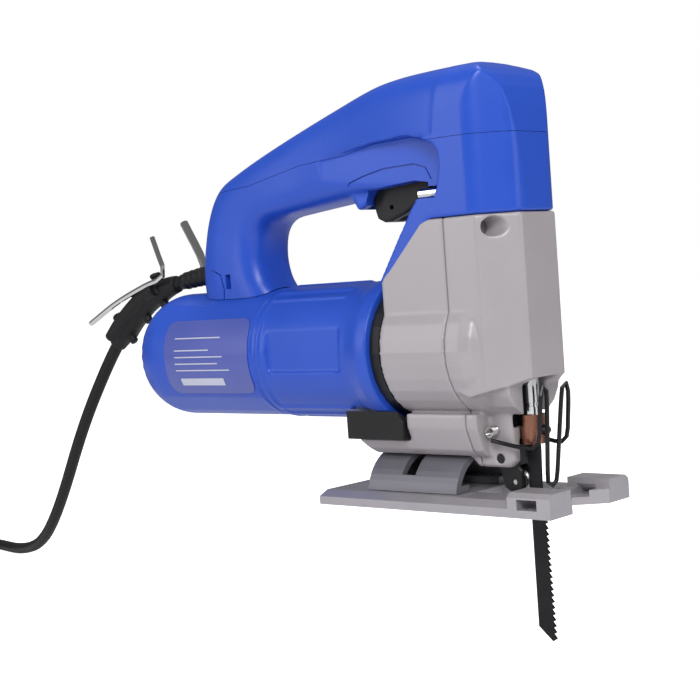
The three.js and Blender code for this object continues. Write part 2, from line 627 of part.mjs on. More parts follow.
add(body, 'front_bearing', makeBearing(webX[0] + 1), 'chrome');
add(body, 'rear_bearing', makeBearing(rearBearingX), 'chrome');

function makeStator() {
  const air = core.r + 0.8;
  const outline = arcPoints(0, motorZ, barrelInner - gap, 0, 360, 40).slice(0, 40);
  let stator = crossSlab(outline, core.x0, core.x1);
  stator = stator.subtract(rodX(core.x0 - 1, core.x1 + 1, air, 0, motorZ, 40));
  for (const side of [-1, 1]) {
    const pocket = turnedX(ring(core.x0 - 1, core.x1 + 1, air + 1.8, air + 6.4), 0, motorZ, 40);
    const zone = box(-everything, everything, -15, 15, motorZ + (side < 0 ? -30 : 8), motorZ + (side < 0 ? -8 : 30));
    stator = stator.subtract(pocket.intersect(zone));
  }
  return stator;
}

add(body, 'stator_core', makeStator(), 'steel');
for (const [label, side] of [['lower', -1], ['upper', 1]]) {
  const air = core.r + 0.8;
  const sector = turnedX(ring(core.x0 - 8, core.x1 + 8, air + 2.1, air + 6.1), 0, motorZ, 40);
  const z0 = motorZ + (side < 0 ? -30 : 8.3);
  const coil = sector.intersect(box(-everything, everything, -14.6, 14.6, z0, z0 + 21.7));
  add(body, `field_coil_${label}`, coil, 'copper');
}

for (const [label, side] of [['right', -1], ['left', 1]]) {
  const y = [side * 11.2, side * 26].sort((a, b) => a - b);
  const holder = box(commutatorX[0] + 1.5, commutatorX[1] - 1.5, y[0], y[1], motorZ - 5, motorZ + 5);
  add(body, `brush_holder_${label}`, holder, 'brass');
}

// ---- drive gear and crank -----------------------------------------------------------------------

const drive = new THREE.Group();
tool.add(drive);
const yoke = { x0: bladeX - plungerR - 10, x1: bladeX, half: 16, high: 5.4 };
const crank = { r: 2.6, throwR: stroke / 2, x1: yoke.x0 - running };

function makeDriveGear() {
  const disc = crossSlab(gearOutline(gearTeeth, gearR, 0, gearZ, 90), gear.x0, gear.x1);
  const lightening = turnedX(ring(gear.x0 - 1, gear.x0 + 2.4, gearShaftR + 3, gearR - 4), 0, gearZ, 24);
  const bore = rodX(gear.x0 - 1, gear.x1 - 2, gearShaftR + running / 2, 0, gearZ, 24);
  return cut(disc, bore, lightening);
}

add(drive, 'drive_gear', makeDriveGear(), 'steel');
const crankPin = rodX(gear.x1 + gap, crank.x1, crank.r, crank.throwR, gearZ, 16);
add(drive, 'crank_pin', crankPin, 'chrome');
const gearShaft = rodX(webX[0] + 0.5, gear.x1 - 2 - gap, gearShaftR, 0, gearZ, 24);
add(body, 'gear_shaft', gearShaft, 'steel');

// ---- plunger, blade clamp and blade -------------------------------------------------------------

const moving = new THREE.Group();
tool.add(moving);
const shankTop = clampTopZ - 4.3;

function makePlunger() {
  const shaftTop = upperBush[1] - stroke / 2 - 0.6;
  const rodBody = rodZ(shankTop + 0.8, shaftTop, plungerR, bladeX, 0, 24);
  const waist = turnedZ(ring(clampTopZ + 3.4, clampTopZ + 5.2, plungerR - 0.6, plungerR + 1), bladeX, 0, 24);
  const block = box(yoke.x0, yoke.x1, -yoke.half, yoke.half, gearZ - yoke.high, gearZ + yoke.high);
  const slot = box(yoke.x0 - 1, yoke.x0 + 6, -yoke.half + 2.6, yoke.half - 2.6,
    gearZ - crank.r - running, gearZ + crank.r + running);
  return union(rodBody.subtract(waist), block).subtract(slot);
}

add(moving, 'plunger', makePlunger(), 'chrome');
for (const [label, span] of [['lower', lowerBush], ['upper', upperBush]]) {
  const bush = turnedZ(ring(span[0], span[1] - gap, plungerR + 0.08, bushR), bladeX, 0, 24);
  add(body, `plunger_bush_${label}`, bush, 'brass');
}

const sealBlock = box(seal.x0, seal.x1, -seal.half, seal.half, seal.z0, noseZ - gap);
add(body, 'plunger_seal', sealBlock, 'rubber');

const clampBottomZ = clampTopZ - clampHeight;
const collar = turnedZ(ring(clampBottomZ, clampTopZ, plungerR + 0.25, clampR), bladeX, 0, 24)
  .subtract(rodX(bladeX, bladeX + 12, 2.3, 0, clampBottomZ + 6, 12));
add(moving, 'blade_clamp', collar, 'copper');
const setScrew = turnedX([[bladeX + 3.8, 0], [bladeX + 3.8, 2], [bladeX + clampR + 2.2, 2],
  [bladeX + clampR + 2.8, 1.4], [bladeX + clampR + 2.8, 0]], 0, clampBottomZ + 6, 12);
add(moving, 'clamp_set_screw', setScrew, 'blackSteel');

function bladeOutline() {
  const back = bladeX - bladeWidth / 2 + 0.1;
  const front = bladeX + bladeWidth / 2 - 0.6;
  const points = [[back, shankTop], [back, bladeTipZ + 6], [bladeX + 3.6, bladeTipZ]];
  const toothedLength = -bladeTipZ + 6;
  const teeth = Math.floor(toothedLength / toothPitch);
  for (let i = 0; i < teeth; i += 1) {
    const z = bladeTipZ + 1.2 + i * toothPitch;
    const lean = (1.4 * (teeth - i)) / teeth;
    points.push([front + lean + 1.1, z], [front + lean - 0.5, z + toothPitch * 0.72]);
  }
  points.push([front - 0.4, bladeTipZ + 2 + teeth * toothPitch], [bladeX + 3.2, 24], [bladeX + 3.2, shankTop]);
  return points;
}

add(moving, 'saw_blade', sideSlab(bladeOutline(), -bladeThick / 2, bladeThick / 2), 'blackSteel');

// ---- blade guide roller and wire guard ----------------------------------------------------------

const rollerR = 5;
const roller = { x: bladeX - bladeWidth / 2 - rollerR + 0.1 - gap, z: 10.4, half: 2.2 };

function makeFork() {
  const back = bladeX - clampR - 2 * running;
  const outline = [[pivot.x - 5, 16], [pivot.x - 5, 27], [back, 27], [back, 17.6], [33.4, 15.6], [33.4, 6.6]];
  outline.push([roller.x - 2, 5.4]);
  outline.push([roller.x - 5.5, 7.6]);
  const half = forkSlotHalf - 2 * running;
  const side = sideSlab(outline, -half, half, 0.6, 1);
  const rollerRoom = rodY(-roller.half - running, roller.half + running, rollerR + running, roller.x, roller.z, 24);
  const notch = box(roller.x, 40, -roller.half - running, roller.half + running, 0, 18);
  const pinRoom = rodY(-9, 9, pivot.r + 0.1, pivot.x, pivot.z, 16);
  const axleRoom = rodY(-9, 9, 1.35, roller.x, roller.z, 8);
  return cut(side, rollerRoom, notch, pinRoom, axleRoom);
}

add(tool, 'roller_fork', makeFork(), 'blackSteel');
const pivotPin = rodY(-tongue.half + 0.3, tongue.half - 0.3, pivot.r, pivot.x, pivot.z, 16);
add(body, 'fork_pivot_pin', pivotPin, 'blackSteel');
const groove = [[-roller.half, 0], [-roller.half, rollerR], [-0.9, rollerR], [0, rollerR - 0.8], [0.9, rollerR]];
groove.push([roller.half, rollerR], [roller.half, 0]);
const axle = rodY(-forkSlotHalf + 3 * running, forkSlotHalf - 3 * running, 1.15, roller.x, roller.z, 8);
add(tool, 'guide_roller', turnedY(groove, roller.x, roller.z, 24).add(axle), 'steel');

const guard = { pivotX: 25, pivotZ: 31.2, y: tongue.half + 3.2, wire: 1 };

function guardPath() {
  const half = [[guard.pivotX, -guard.y, guard.pivotZ - 1.3], [guard.pivotX + 6, -guard.y, 28.8], [40, -11.7, 27]];
  half.push([45.5, -10.9, 27], [48, -10.7, 29.6], [49.2, -10.7, 38], [50.3, -10.4, 49], [50.5, -9.6, 52.4]);
  half.push([50.5, -8, 53.4], [50.4, -6.4, 52.2], [50, -5.6, 48], [48.8, -4.8, 36], [47.6, -4.2, 24]);
  half.push([46.6, -3.6, 14], [46.2, -2.9, 10.4], [46.1, -1.3, 9.1]);
  const mirrored = half.map(([x, y, z]) => [x, -y, z]).reverse();
  return [...half, ...mirrored];
}

add(tool, 'wire_guard', swept(curveThrough(guardPath()), guard.wire, 48, 8), 'blackSteel');

for (const [label, side] of [['right', -1], ['left', 1]]) {
  const ends = [side * (tongue.half + gap), side * (tongue.half + 5.4)].sort((a, b) => a - b);
  const profile = [];
  profile.push([ends[0], 0], [ends[0], 2.6], [ends[1], 2.6], [ends[1], 0]);
  const spring = turnedY(profile, guard.pivotX, guard.pivotZ + 2.6, 14);
  add(body, `guard_spring_${label}`, spring, 'chrome');
}

// ---- cord, strain relief, plug and key holder ---------------------------------------------------

const reliefEnd = [-186, 0, 109.2];
const cordRoute = [reliefEnd, [-200, 0, 106.4], [-213, 0, 101.4], [-225, 0, 94.4], [-236, 0, 86], [-246, 0, 76.6],
  [-256, 0, 65.6], [-266, 0, 53.4], [-276, 0, 40.4], [-287, 1, 26.4], [-299, 3, 11.4], [-312, 6, -4], [-326, 9.5, -19],
  [-341, 13.5, -32.6], [-357, 18, -43.8], [-374, 22.5, -51.6], [-392, 27, -56], [-410, 31, -58.2], [-428, 34.2, -58.5],
  [-446, 36.6, -58.5], [-465, 38.4, -58.5], [-483.8, 39.3, -58.5]];

const reliefPath = curveThrough([[-146, 0, relief.z], [-158, 0, relief.z], [-172, 0, 111.1], [-185.7, 0, 109.26]]);
const reliefSeatBody = rodX(reliefSeat[0], reliefSeat[1], relief.seatR, 0, relief.z, 16);
const reliefBody = swept(reliefPath, relief.r, 8, 12).add(reliefSeatBody);
add(body, 'strain_relief', reliefBody, 'rubber');

function cordStretch(points) {
  const start = new THREE.Vector3(...points[0]);
  const next = new THREE.Vector3(...points[1]);
  start.addScaledVector(next.sub(start).normalize(), gap);
  return curveThrough([start.toArray(), ...points.slice(1)]);
}

add(body, 'power_cord', swept(cordStretch(cordRoute), cordR, 50, 8), 'rubber');

const coil = { x: -511, y: -6, inner: 27.5, outer: 49, base: surfaceZ + 1.6, high: 14.4 };
const coilRing = turnedZ(ring(coil.base, coil.base + coil.high, coil.inner, coil.outer), coil.x, coil.y, 40);
add(body, 'cord_coil', coilRing, 'rubber');

const plug = { x: coil.x + 32, y: coil.y - 17.8, z: coil.base + coil.high + gap };
const plugProfile = [[-24, 0], [-24, 5.5], [-8, 8.5], [8, 12], [13, 12], [13, 0]];
const plugShape = turnedX(plugProfile.map(([x, r]) => [x + plug.x, r]), plug.y, plug.z + 12, 20);
let plugSolid = plugShape;
for (const side of [-1, 1]) {
  plugSolid = plugSolid.add(rodX(plug.x + 12, plug.x + 31, 2.2, plug.y + side * 6, plug.z + 12, 10));
}
add(body, 'mains_plug', plugSolid, 'rubber');

const tie = { y: coil.y, half: 4, thick: 1.3, x0: coil.x + coil.inner - 1.8, x1: coil.x + coil.outer + 1.8 };
const coilTop = coil.base + coil.high;
const tieSection = box(tie.x0, tie.x1, tie.y - tie.half, tie.y + tie.half, surfaceZ, coilTop + gap + tie.thick);
const tieRoom = box(tie.x0 + tie.thick, tie.x1 - tie.thick, tie.y - 5, tie.y + 5, coil.base - gap, coilTop + gap);
add(body, 'cord_tie', tieSection.subtract(tieRoom), 'rubber');

const holderPath = curveThrough(cordRoute.slice(1, 6));
const holderTube = swept(holderPath, 7, 8, 12, cordR + gap);
add(body, 'key_holder', holderTube, 'rubber');

function hexRod(points, acrossFlats, steps) {
  const section = shapeOf(arcPoints(0, 0, acrossFlats / Math.sqrt(3), 0, 300, 5));
  const path = curveThrough(points);
  return toSolid(new THREE.ExtrudeGeometry(section, { extrudePath: path, steps, bevelEnabled: false }));
}

const smallKey = [[-198.1, -9, 134.5], [-192.1, -9, 120], [-190.3, -9, 116], [-193, -9, 112.4], [-206, -9, 109]];
smallKey.push([-232, -9.4, 100.5], [-256.4, -9.8, 89.6]);
const largeKey = [[-192.7, 9.6, 141.5], [-180.4, 9.6, 121.6], [-178.6, 9.6, 117], [-181, 9.6, 113.4], [-198, 9.6, 109.4]];
largeKey.push([-228, 9.8, 98.6], [-259.4, 10, 84.6]);
add(body, 'hex_key_small', hexRod(smallKey, 2.5, 16), 'chrome');
add(body, 'hex_key_large', hexRod(largeKey, 4, 16), 'chrome');

export default tool;
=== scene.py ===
# A corded jigsaw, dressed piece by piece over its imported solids. Metres, +Z up, +X towards the
# blade; the origin is the centre of the sole's underside.

import bmesh
import bpy
import math
from mathutils import Matrix, Vector


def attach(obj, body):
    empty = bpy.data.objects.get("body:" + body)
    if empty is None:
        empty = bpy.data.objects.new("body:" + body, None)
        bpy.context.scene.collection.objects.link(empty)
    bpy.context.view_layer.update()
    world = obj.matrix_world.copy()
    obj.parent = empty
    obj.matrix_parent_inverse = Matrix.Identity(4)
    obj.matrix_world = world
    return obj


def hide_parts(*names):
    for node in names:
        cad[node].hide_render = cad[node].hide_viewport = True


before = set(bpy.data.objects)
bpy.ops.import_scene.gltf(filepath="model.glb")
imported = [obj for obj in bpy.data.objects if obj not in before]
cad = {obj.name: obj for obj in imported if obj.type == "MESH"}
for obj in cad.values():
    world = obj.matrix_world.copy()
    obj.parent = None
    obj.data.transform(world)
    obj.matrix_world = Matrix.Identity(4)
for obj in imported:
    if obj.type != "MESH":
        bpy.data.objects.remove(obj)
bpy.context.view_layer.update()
collection = bpy.context.scene.collection

# ---- Camera, floor and soft boxes ---------------------------------------------------------------
# A plain white studio: a seamless pale floor at the blade's tip, a large soft box over the camera's
# shoulder, a strip at the handle's side, and two more in front and overhead. None of it is the tool.

MM = 0.001
FLOOR_Z = -62


def look_from(place, heading, pitch, roll):
    """World matrix of a camera at place, heading from +Y towards -X, pitched down and rolled."""
    turn = Matrix.Rotation(math.radians(heading), 4, "Z")
    tip = Matrix.Rotation(math.radians(90 - pitch), 4, "X")
    lean = Matrix.Rotation(math.radians(roll), 4, "Z")
    return Matrix.Translation(place) @ turn @ tip @ lean


camera = bpy.data.objects.new("studio_camera", bpy.data.cameras.new("studio_camera"))
collection.objects.link(camera)
camera.data.sensor_width = 36
camera.data.lens = 74.58
camera.data.clip_start = 0.01
camera.data.clip_end = 30
camera.matrix_world = look_from((0.4088, -0.5170, 0.1060), 42.65, 2.91, -4.11)
bpy.context.scene.camera = camera
bpy.context.scene.view_settings.view_transform = "Standard"


def soft_box(name, place, aim, width, height, watts, colour=(1, 1, 1)):
    """A rectangular area light at place, facing aim."""
    lamp = bpy.data.lights.new(name, "AREA")
    lamp.shape = "RECTANGLE"
    lamp.size = width
    lamp.size_y = height
    lamp.energy = watts
    lamp.color = colour
    body = bpy.data.objects.new(name, lamp)
    collection.objects.link(body)
    body.location = place
    body.rotation_euler = (Vector(aim) - Vector(place)).to_track_quat("-Z", "Y").to_euler()


soft_box("key_box", (0.75, -1.05, 0.95), (-0.05, 0, 0.10), 0.8, 0.6, 17)
soft_box("side_box", (-0.85, -1.05, 0.55), (-0.05, 0, 0.10), 0.4, 1.0, 4)
soft_box("front_box", (1.3, 0.15, 0.45), (0, 0, 0.08), 0.4, 0.9, 2.5)
soft_box("top_box", (-0.05, 0.2, 1.3), (-0.05, 0, 0.1), 0.9, 0.5, 7)

studio = bpy.data.worlds.new("studio")
studio.use_nodes = True
studio.node_tree.nodes["Background"].inputs["Color"].default_value = (1, 1, 1, 1)
seen_or_lit = studio.node_tree.nodes.new("ShaderNodeMapRange")
seen_or_lit.inputs["To Min"].default_value = 0.18
seen_or_lit.inputs["To Max"].default_value = 1.0
light_path = studio.node_tree.nodes.new("ShaderNodeLightPath")
studio.node_tree.links.new(light_path.outputs["Is Camera Ray"], seen_or_lit.inputs["Value"])
studio.node_tree.links.new(seen_or_lit.outputs["Result"],
                           studio.node_tree.nodes["Background"].inputs["Strength"])
bpy.context.scene.world = studio


def mesh_object(name, points, faces):
    """A mesh piece from points in millimetres and faces, linked to the scene."""
    data = bpy.data.meshes.new(name)
    data.from_pydata([[c * MM for c in p] for p in points], [], faces)
    data.update()
    piece = bpy.data.objects.new(name, data)
    collection.objects.link(piece)
    return piece


floor_reach = 6000
floor = mesh_object(
    "studio_floor",
    [(x * floor_reach, y * floor_reach, FLOOR_Z) for x, y in ((-1, -1), (1, -1), (1, 1), (-1, 1))],
    [(0, 1, 2, 3)],
)
floor_paper = bpy.data.materials.new("floor_paper")
floor_paper.use_nodes = True
paper = floor_paper.node_tree.nodes["Principled BSDF"]
paper.inputs["Base Color"].default_value = (0.86, 0.86, 0.87, 1)
paper.inputs["Roughness"].default_value = 1.0
paper.inputs["Specular IOR Level"].default_value = 0.0
paper.inputs["Emission Color"].default_value = (1, 1, 1, 1)
seen_floor = floor_paper.node_tree.nodes.new("ShaderNodeMapRange")
seen_floor.inputs["To Min"].default_value = 0.05
seen_floor.inputs["To Max"].default_value = 1.0
floor_path = floor_paper.node_tree.nodes.new("ShaderNodeLightPath")
floor_paper.node_tree.links.new(floor_path.outputs["Is Camera Ray"], seen_floor.inputs["Value"])
floor_paper.node_tree.links.new(seen_floor.outputs["Result"], paper.inputs["Emission Strength"])
floor.data.materials.append(floor_paper)

# ---- Mains cord ---------------------------------------------------------------------------------
# Mains lead in a round 7 mm black rubber jacket, about 1.9 m long. It leaves the column through a
# ribbed strain relief, falls behind the tool, and its slack is a neat coil with the plug on it.

CORD_R = 3.5
CORD_ROUTE = [
    (-186, 0, 109.2), (-200, 0, 106.4), (-213, 0, 101.4), (-225, 0, 94.4), (-236, 0, 86),
    (-246, 0, 76.6), (-256, 0, 65.6), (-266, 0, 53.4), (-276, 0, 40.4), (-287, 1, 26.4),
    (-299, 3, 11.4), (-312, 6, -4), (-326, 9.5, -19), (-341, 13.5, -32.6), (-357, 18, -43.8),
    (-374, 22.5, -51.6), (-392, 27, -56), (-410, 31, -58.2), (-428, 34.2, -58.5),
    (-446, 36.6, -58.5), (-465, 38.4, -58.5), (-483.8, 39.3, -58.5),
]
COIL = (-511, -6)
COIL_RADII = [45.2, 38.0, 30.8, 30.8, 38.0, 45.2]
COIL_LAYER = [-58.5, -58.5, -58.5, -51.4, -51.4, -51.4]


def ease(t):
    t = min(1.0, max(0.0, t))
    return t * t * (3 - 2 * t)


def coil_points():
    """Turns laid side by side, then on each other, and the tail that lifts into the plug."""
    steps = 24
    points = []
    for turn, (radius, z) in enumerate(zip(COIL_RADII, COIL_LAYER)):
        for step in range(steps):
            t = step / steps
            last = turn + 1 == len(COIL_RADII)
            after_r = radius if last else COIL_RADII[turn + 1]
            after_z = z if last else COIL_LAYER[turn + 1]
            shift = ease((t - 0.62) / 0.36)
            if last:
                shift, after_z = ease((t - 0.75) / 0.25), z + 7.2
            angle = math.radians(90 + 360 * t)
            if turn == 0 and step < 2:
                continue
            r = radius + (after_r - radius) * shift
            points.append((COIL[0] + r * math.cos(angle), COIL[1] + r * math.sin(angle),
                           z + (after_z - z) * shift))
    bend = 31.5
    middle = (COIL[0], COIL[1] + COIL_RADII[-1] - bend)
    for step in range(13):
        t = step / 12
        angle = math.radians(90 + 180 * t)
        lift = 7.2 + ease((t - 0.3) / 0.7) * 10.5
        points.append((middle[0] + bend * math.cos(angle), middle[1] + bend * math.sin(angle),
                       COIL_LAYER[-1] + lift))
    points.append((-503.4, -23.8, -33.7))
    return points


def smooth_line(points, cuts):
    """Points joined by a centripetal-like spline, cut finely enough to follow."""
    line = []
    knots = [Vector(p) for p in points]
    knots = [knots[0] * 2 - knots[1]] + knots + [knots[-1] * 2 - knots[-2]]
    for a, b, c, d in zip(knots, knots[1:], knots[2:], knots[3:]):
        for i in range(cuts):
            t = i / cuts
            line.append(0.5 * (2 * b + (c - a) * t + (2 * a - 5 * b + 4 * c - d) * t * t
                               + (3 * b - a - 3 * c + d) * t ** 3))
    line.append(knots[-2])
    return line


def rod_along(name, points, radius, sides=16, taper=None, closed_ends=True):
    """A round section carried along a line without twist; taper gives a factor per share of it."""
    line = [Vector(p) for p in points]
    tangents = []
    for i in range(len(line)):
        a, b = line[max(0, i - 1)], line[min(len(line) - 1, i + 1)]
        tangents.append((b - a).normalized())
    normal = tangents[0].orthogonal().normalized()
    verts, faces = [], []
    for i, (p, t) in enumerate(zip(line, tangents)):
        normal = (normal - t * normal.dot(t)).normalized()
        across = t.cross(normal)
        r = radius * (taper(i / (len(line) - 1)) if taper else 1)
        for k in range(sides):
            a = 2 * math.pi * k / sides
            verts.append(p + normal * math.cos(a) * r + across * math.sin(a) * r)
    for i in range(len(line) - 1):
        for k in range(sides):
            n = (k + 1) % sides
            faces.append((i * sides + k, i * sides + n, (i + 1) * sides + n, (i + 1) * sides + k))
    if closed_ends:
        faces.append(tuple(reversed(range(sides))))
        faces.append(tuple(range((len(line) - 1) * sides, len(line) * sides)))
    piece = mesh_object(name, verts, faces)
    for face in piece.data.polygons:
        face.use_smooth = len(face.vertices) == 4
    return piece


def group_sockets(group, inputs, outputs):
    for name, kind, value in inputs:
        made = group.interface.new_socket(name=name, in_out="INPUT", socket_type=kind)
        if value is not None:
            made.default_value = value
    for name, kind in outputs:
        group.interface.new_socket(name=name, in_out="OUTPUT", socket_type=kind)
    return group.nodes.new("NodeGroupInput"), group.nodes.new("NodeGroupOutput")


# Fine surface shared by moulded and cast pieces: a stipple for the Bump node, a slow patchiness for
# roughness, and a dust mask that settles on faces that look up.
stipple = bpy.data.node_groups.new("stipple_and_dust", "ShaderNodeTree")
s_in, s_out = group_sockets(
    stipple,
    [("Grain Size", "NodeSocketFloat", 0.5), ("Patch Size", "NodeSocketFloat", 30.0)],
    [("Grain", "NodeSocketFloat"), ("Patch", "NodeSocketFloat"), ("Dust", "NodeSocketFloat")],
)
s_place = stipple.nodes.new("ShaderNodeTexCoord")
s_scale = stipple.nodes.new("ShaderNodeMath")
s_scale.operation = "DIVIDE"
s_scale.inputs[0].default_value = 1000.0
stipple.links.new(s_in.outputs["Grain Size"], s_scale.inputs[1])
s_grain = stipple.nodes.new("ShaderNodeTexNoise")
s_grain.inputs["Detail"].default_value = 3.0
stipple.links.new(s_place.outputs["Object"], s_grain.inputs["Vector"])
stipple.links.new(s_scale.outputs[0], s_grain.inputs["Scale"])
s_wide = stipple.nodes.new("ShaderNodeMath")
s_wide.operation = "DIVIDE"
s_wide.inputs[0].default_value = 1000.0
stipple.links.new(s_in.outputs["Patch Size"], s_wide.inputs[1])
s_patch = stipple.nodes.new("ShaderNodeTexNoise")
s_patch.inputs["Detail"].default_value = 4.0
stipple.links.new(s_place.outputs["Object"], s_patch.inputs["Vector"])
stipple.links.new(s_wide.outputs[0], s_patch.inputs["Scale"])
s_face = stipple.nodes.new("ShaderNodeNewGeometry")
s_split = stipple.nodes.new("ShaderNodeSeparateXYZ")
stipple.links.new(s_face.outputs["Normal"], s_split.inputs[0])
s_up = stipple.nodes.new("ShaderNodeMapRange")
s_up.inputs["From Min"].default_value = 0.4
s_up.inputs["From Max"].default_value = 1.0
stipple.links.new(s_split.outputs["Z"], s_up.inputs["Value"])
s_dust = stipple.nodes.new("ShaderNodeMath")
s_dust.operation = "MULTIPLY"
stipple.links.new(s_up.outputs["Result"], s_dust.inputs[0])
stipple.links.new(s_patch.outputs["Fac"], s_dust.inputs[1])
stipple.links.new(s_grain.outputs["Fac"], s_out.inputs["Grain"])
stipple.links.new(s_patch.outputs["Fac"], s_out.inputs["Patch"])
stipple.links.new(s_dust.outputs[0], s_out.inputs["Dust"])


def finish_of(name, base, pale, rough, metallic=0.0, grain_mm=0.5, grain_depth=0.02,
              patch_mm=30.0, dust=0.06, coat=0.0, specular=0.5, spread=0.08):
    """A material: base colour drifting to pale, stippled, patchy in roughness, faintly dusty."""
    made = bpy.data.materials.new(name)
    made.use_nodes = True
    tree = made.node_tree
    shader = tree.nodes["Principled BSDF"]
    shader.inputs["Metallic"].default_value = metallic
    shader.inputs["Specular IOR Level"].default_value = specular
    shader.inputs["Coat Weight"].default_value = coat
    shader.inputs["Coat Roughness"].default_value = 0.25
    effect = tree.nodes.new("ShaderNodeGroup")
    effect.node_tree = stipple
    effect.inputs["Grain Size"].default_value = grain_mm
    effect.inputs["Patch Size"].default_value = patch_mm
    drift = tree.nodes.new("ShaderNodeMix")
    drift.data_type = "RGBA"
    drift.inputs["A"].default_value = (*base, 1)
    drift.inputs["B"].default_value = (*pale, 1)
    tree.links.new(effect.outputs["Patch"], drift.inputs["Factor"])
    settle_dust = tree.nodes.new("ShaderNodeMix")
    settle_dust.data_type = "RGBA"
    settle_dust.inputs["B"].default_value = (0.55, 0.53, 0.5, 1)
    tree.links.new(drift.outputs["Result"], settle_dust.inputs["A"])
    amount = tree.nodes.new("ShaderNodeMath")
    amount.operation = "MULTIPLY"
    amount.inputs[1].default_value = dust
    tree.links.new(effect.outputs["Dust"], amount.inputs[0])
    tree.links.new(amount.outputs[0], settle_dust.inputs["Factor"])
    tree.links.new(settle_dust.outputs["Result"], shader.inputs["Base Color"])
    shine = tree.nodes.new("ShaderNodeMapRange")
    shine.inputs["To Min"].default_value = rough - spread
    shine.inputs["To Max"].default_value = rough + spread
    tree.links.new(effect.outputs["Patch"], shine.inputs["Value"])
    tree.links.new(shine.outputs["Result"], shader.inputs["Roughness"])
    bump = tree.nodes.new("ShaderNodeBump")
    bump.inputs["Strength"].default_value = 0.5
    bump.inputs["Distance"].default_value = grain_depth * MM
    tree.links.new(effect.outputs["Grain"], bump.inputs["Height"])
    tree.links.new(bump.outputs["Normal"], shader.inputs["Normal"])
    return made


def dress(piece, material, body, *replaced, slot=None):
    """Gives a piece its one material, its body, and the solids that it stands for."""
    piece.data.materials.clear()
    piece.data.materials.append(material)
    if body:
        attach(piece, body)
    if replaced:
        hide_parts(*replaced)
    return piece


rubber = finish_of("black_rubber", (0.006, 0.006, 0.007), (0.013, 0.013, 0.014), 0.50, grain_mm=0.35,
                   grain_depth=0.03, patch_mm=12, dust=0.02, specular=0.26)
cord_line = smooth_line(CORD_ROUTE, 4)[:-1] + smooth_line(coil_points(), 2)
cord = rod_along("mains_cord", cord_line, CORD_R, sides=14)
dress(cord, rubber, "housing", "power_cord", "cord_coil", slot="black_rubber")

# ---- Strain relief ------------------------------------------------------------------------------
# Moulded rubber sleeve, seated in the column's rear wall. It tapers towards the cord, and the rings
# round it let it bend.

relief_line = smooth_line([(-146, 0, 112), (-158, 0, 112), (-172, 0, 111.1), (-185.7, 0, 109.3)], 12)


def relief_taper(share):
    ring = 0.09 if (share * 9) % 1 < 0.5 and 0.3 < share < 0.97 else 0.0
    return 1.0 - 0.24 * share + ring


relief = rod_along("strain_relief_sleeve", relief_line, 5.4, sides=20, taper=relief_taper)
dress(relief, rubber, "housing", "strain_relief", slot="black_rubber")

# ---- Plug and cord tie --------------------------------------------------------------------------
# A moulded rubber plug with two brass pins lies on the coil, and a flat rubber strap round the turns
# holds them together.


def face_outwards(piece, weld=False):
    """Turns every face of a closed piece outwards, after joining points that coincide."""
    net = bmesh.new()
    net.from_mesh(piece.data)
    if weld:
        bmesh.ops.remove_doubles(net, verts=net.verts, dist=1e-7)
    bmesh.ops.recalc_face_normals(net, faces=net.faces)
    net.to_mesh(piece.data)
    net.free()
    return piece


def turned(name, profile, centre, axis="X", steps=48):
    """A turned body: profile of (along, radius) in mm about an axis through centre."""
    verts, faces = [], []
    rings = []
    for along, r in profile:
        ring = []
        count = 1 if r < 1e-6 else steps
        for k in range(count):
            a = 2 * math.pi * k / steps
            c, s = r * math.cos(a), r * math.sin(a)
            spot = {"X": (along, c, s), "Y": (s, along, c), "Z": (c, s, along)}[axis]
            verts.append([spot[i] + centre[i] for i in range(3)])
            ring.append(len(verts) - 1)
        rings.append(ring)
    for a, b in zip(rings, rings[1:]):
        for k in range(steps):
            n = (k + 1) % steps
            if len(a) == 1 and len(b) > 1:
                faces.append((a[0], b[n], b[k]))
            elif len(b) == 1 and len(a) > 1:
                faces.append((a[k], a[n], b[0]))
            elif len(a) > 1:
                faces.append((a[k], a[n], b[n], b[k]))
    return face_outwards(mesh_object(name, verts, faces), weld=True)


def settle(piece):
    """Applies a piece's modifiers."""
    graph = bpy.context.evaluated_depsgraph_get()
    graph.update()
    done = bpy.data.meshes.new_from_object(piece.evaluated_get(graph))
    piece.modifiers.clear()
    old = piece.data
    piece.data = done
    bpy.data.meshes.remove(old)
    return piece


def join_or_cut(piece, tool, how):
    """Boolean of piece with tool, which is used up. how is UNION, DIFFERENCE or INTERSECT."""
    made = piece.modifiers.new("boolean", "BOOLEAN")
    made.operation = how
    made.solver = "MANIFOLD"
    made.object = tool
    settle(piece)
    bpy.data.objects.remove(tool)
    return piece


def shade(piece, degrees=35):
    """Smooth shading with edges sharper than the angle left crisp."""
    for face in piece.data.polygons:
        face.use_smooth = True
    piece.data.set_sharp_from_angle(angle=math.radians(degrees))
    return piece


pin_brass = finish_of("pin_brass", (0.62, 0.44, 0.17), (0.72, 0.55, 0.26), 0.28, metallic=1.0,
                      grain_mm=0.2, grain_depth=0.004, dust=0.0)
plug_middle = (-479, -23.8, -33.7)
plug = turned("mains_plug_body", [(-24, 0), (-24, 4.6), (-23, 5.4), (-16, 6.4), (-9, 8.2), (0, 10.4),
                                  (7, 11.6), (11, 11.9), (12.4, 11.6), (13, 10.8), (13, 0)],
              plug_middle, "X")
for side in (-1, 1):
    pin = turned("plug_pin_%s" % ("right" if side < 0 else "left"),
                 [(12, 0), (12, 2.1), (29.6, 2.1), (30.6, 1.4), (31, 0)],
                 (plug_middle[0], plug_middle[1] + side * 6, plug_middle[2]), "X", 20)
    dress(shade(pin), pin_brass, "housing")
dress(shade(plug), rubber, "housing", "mains_plug", slot="black_rubber")


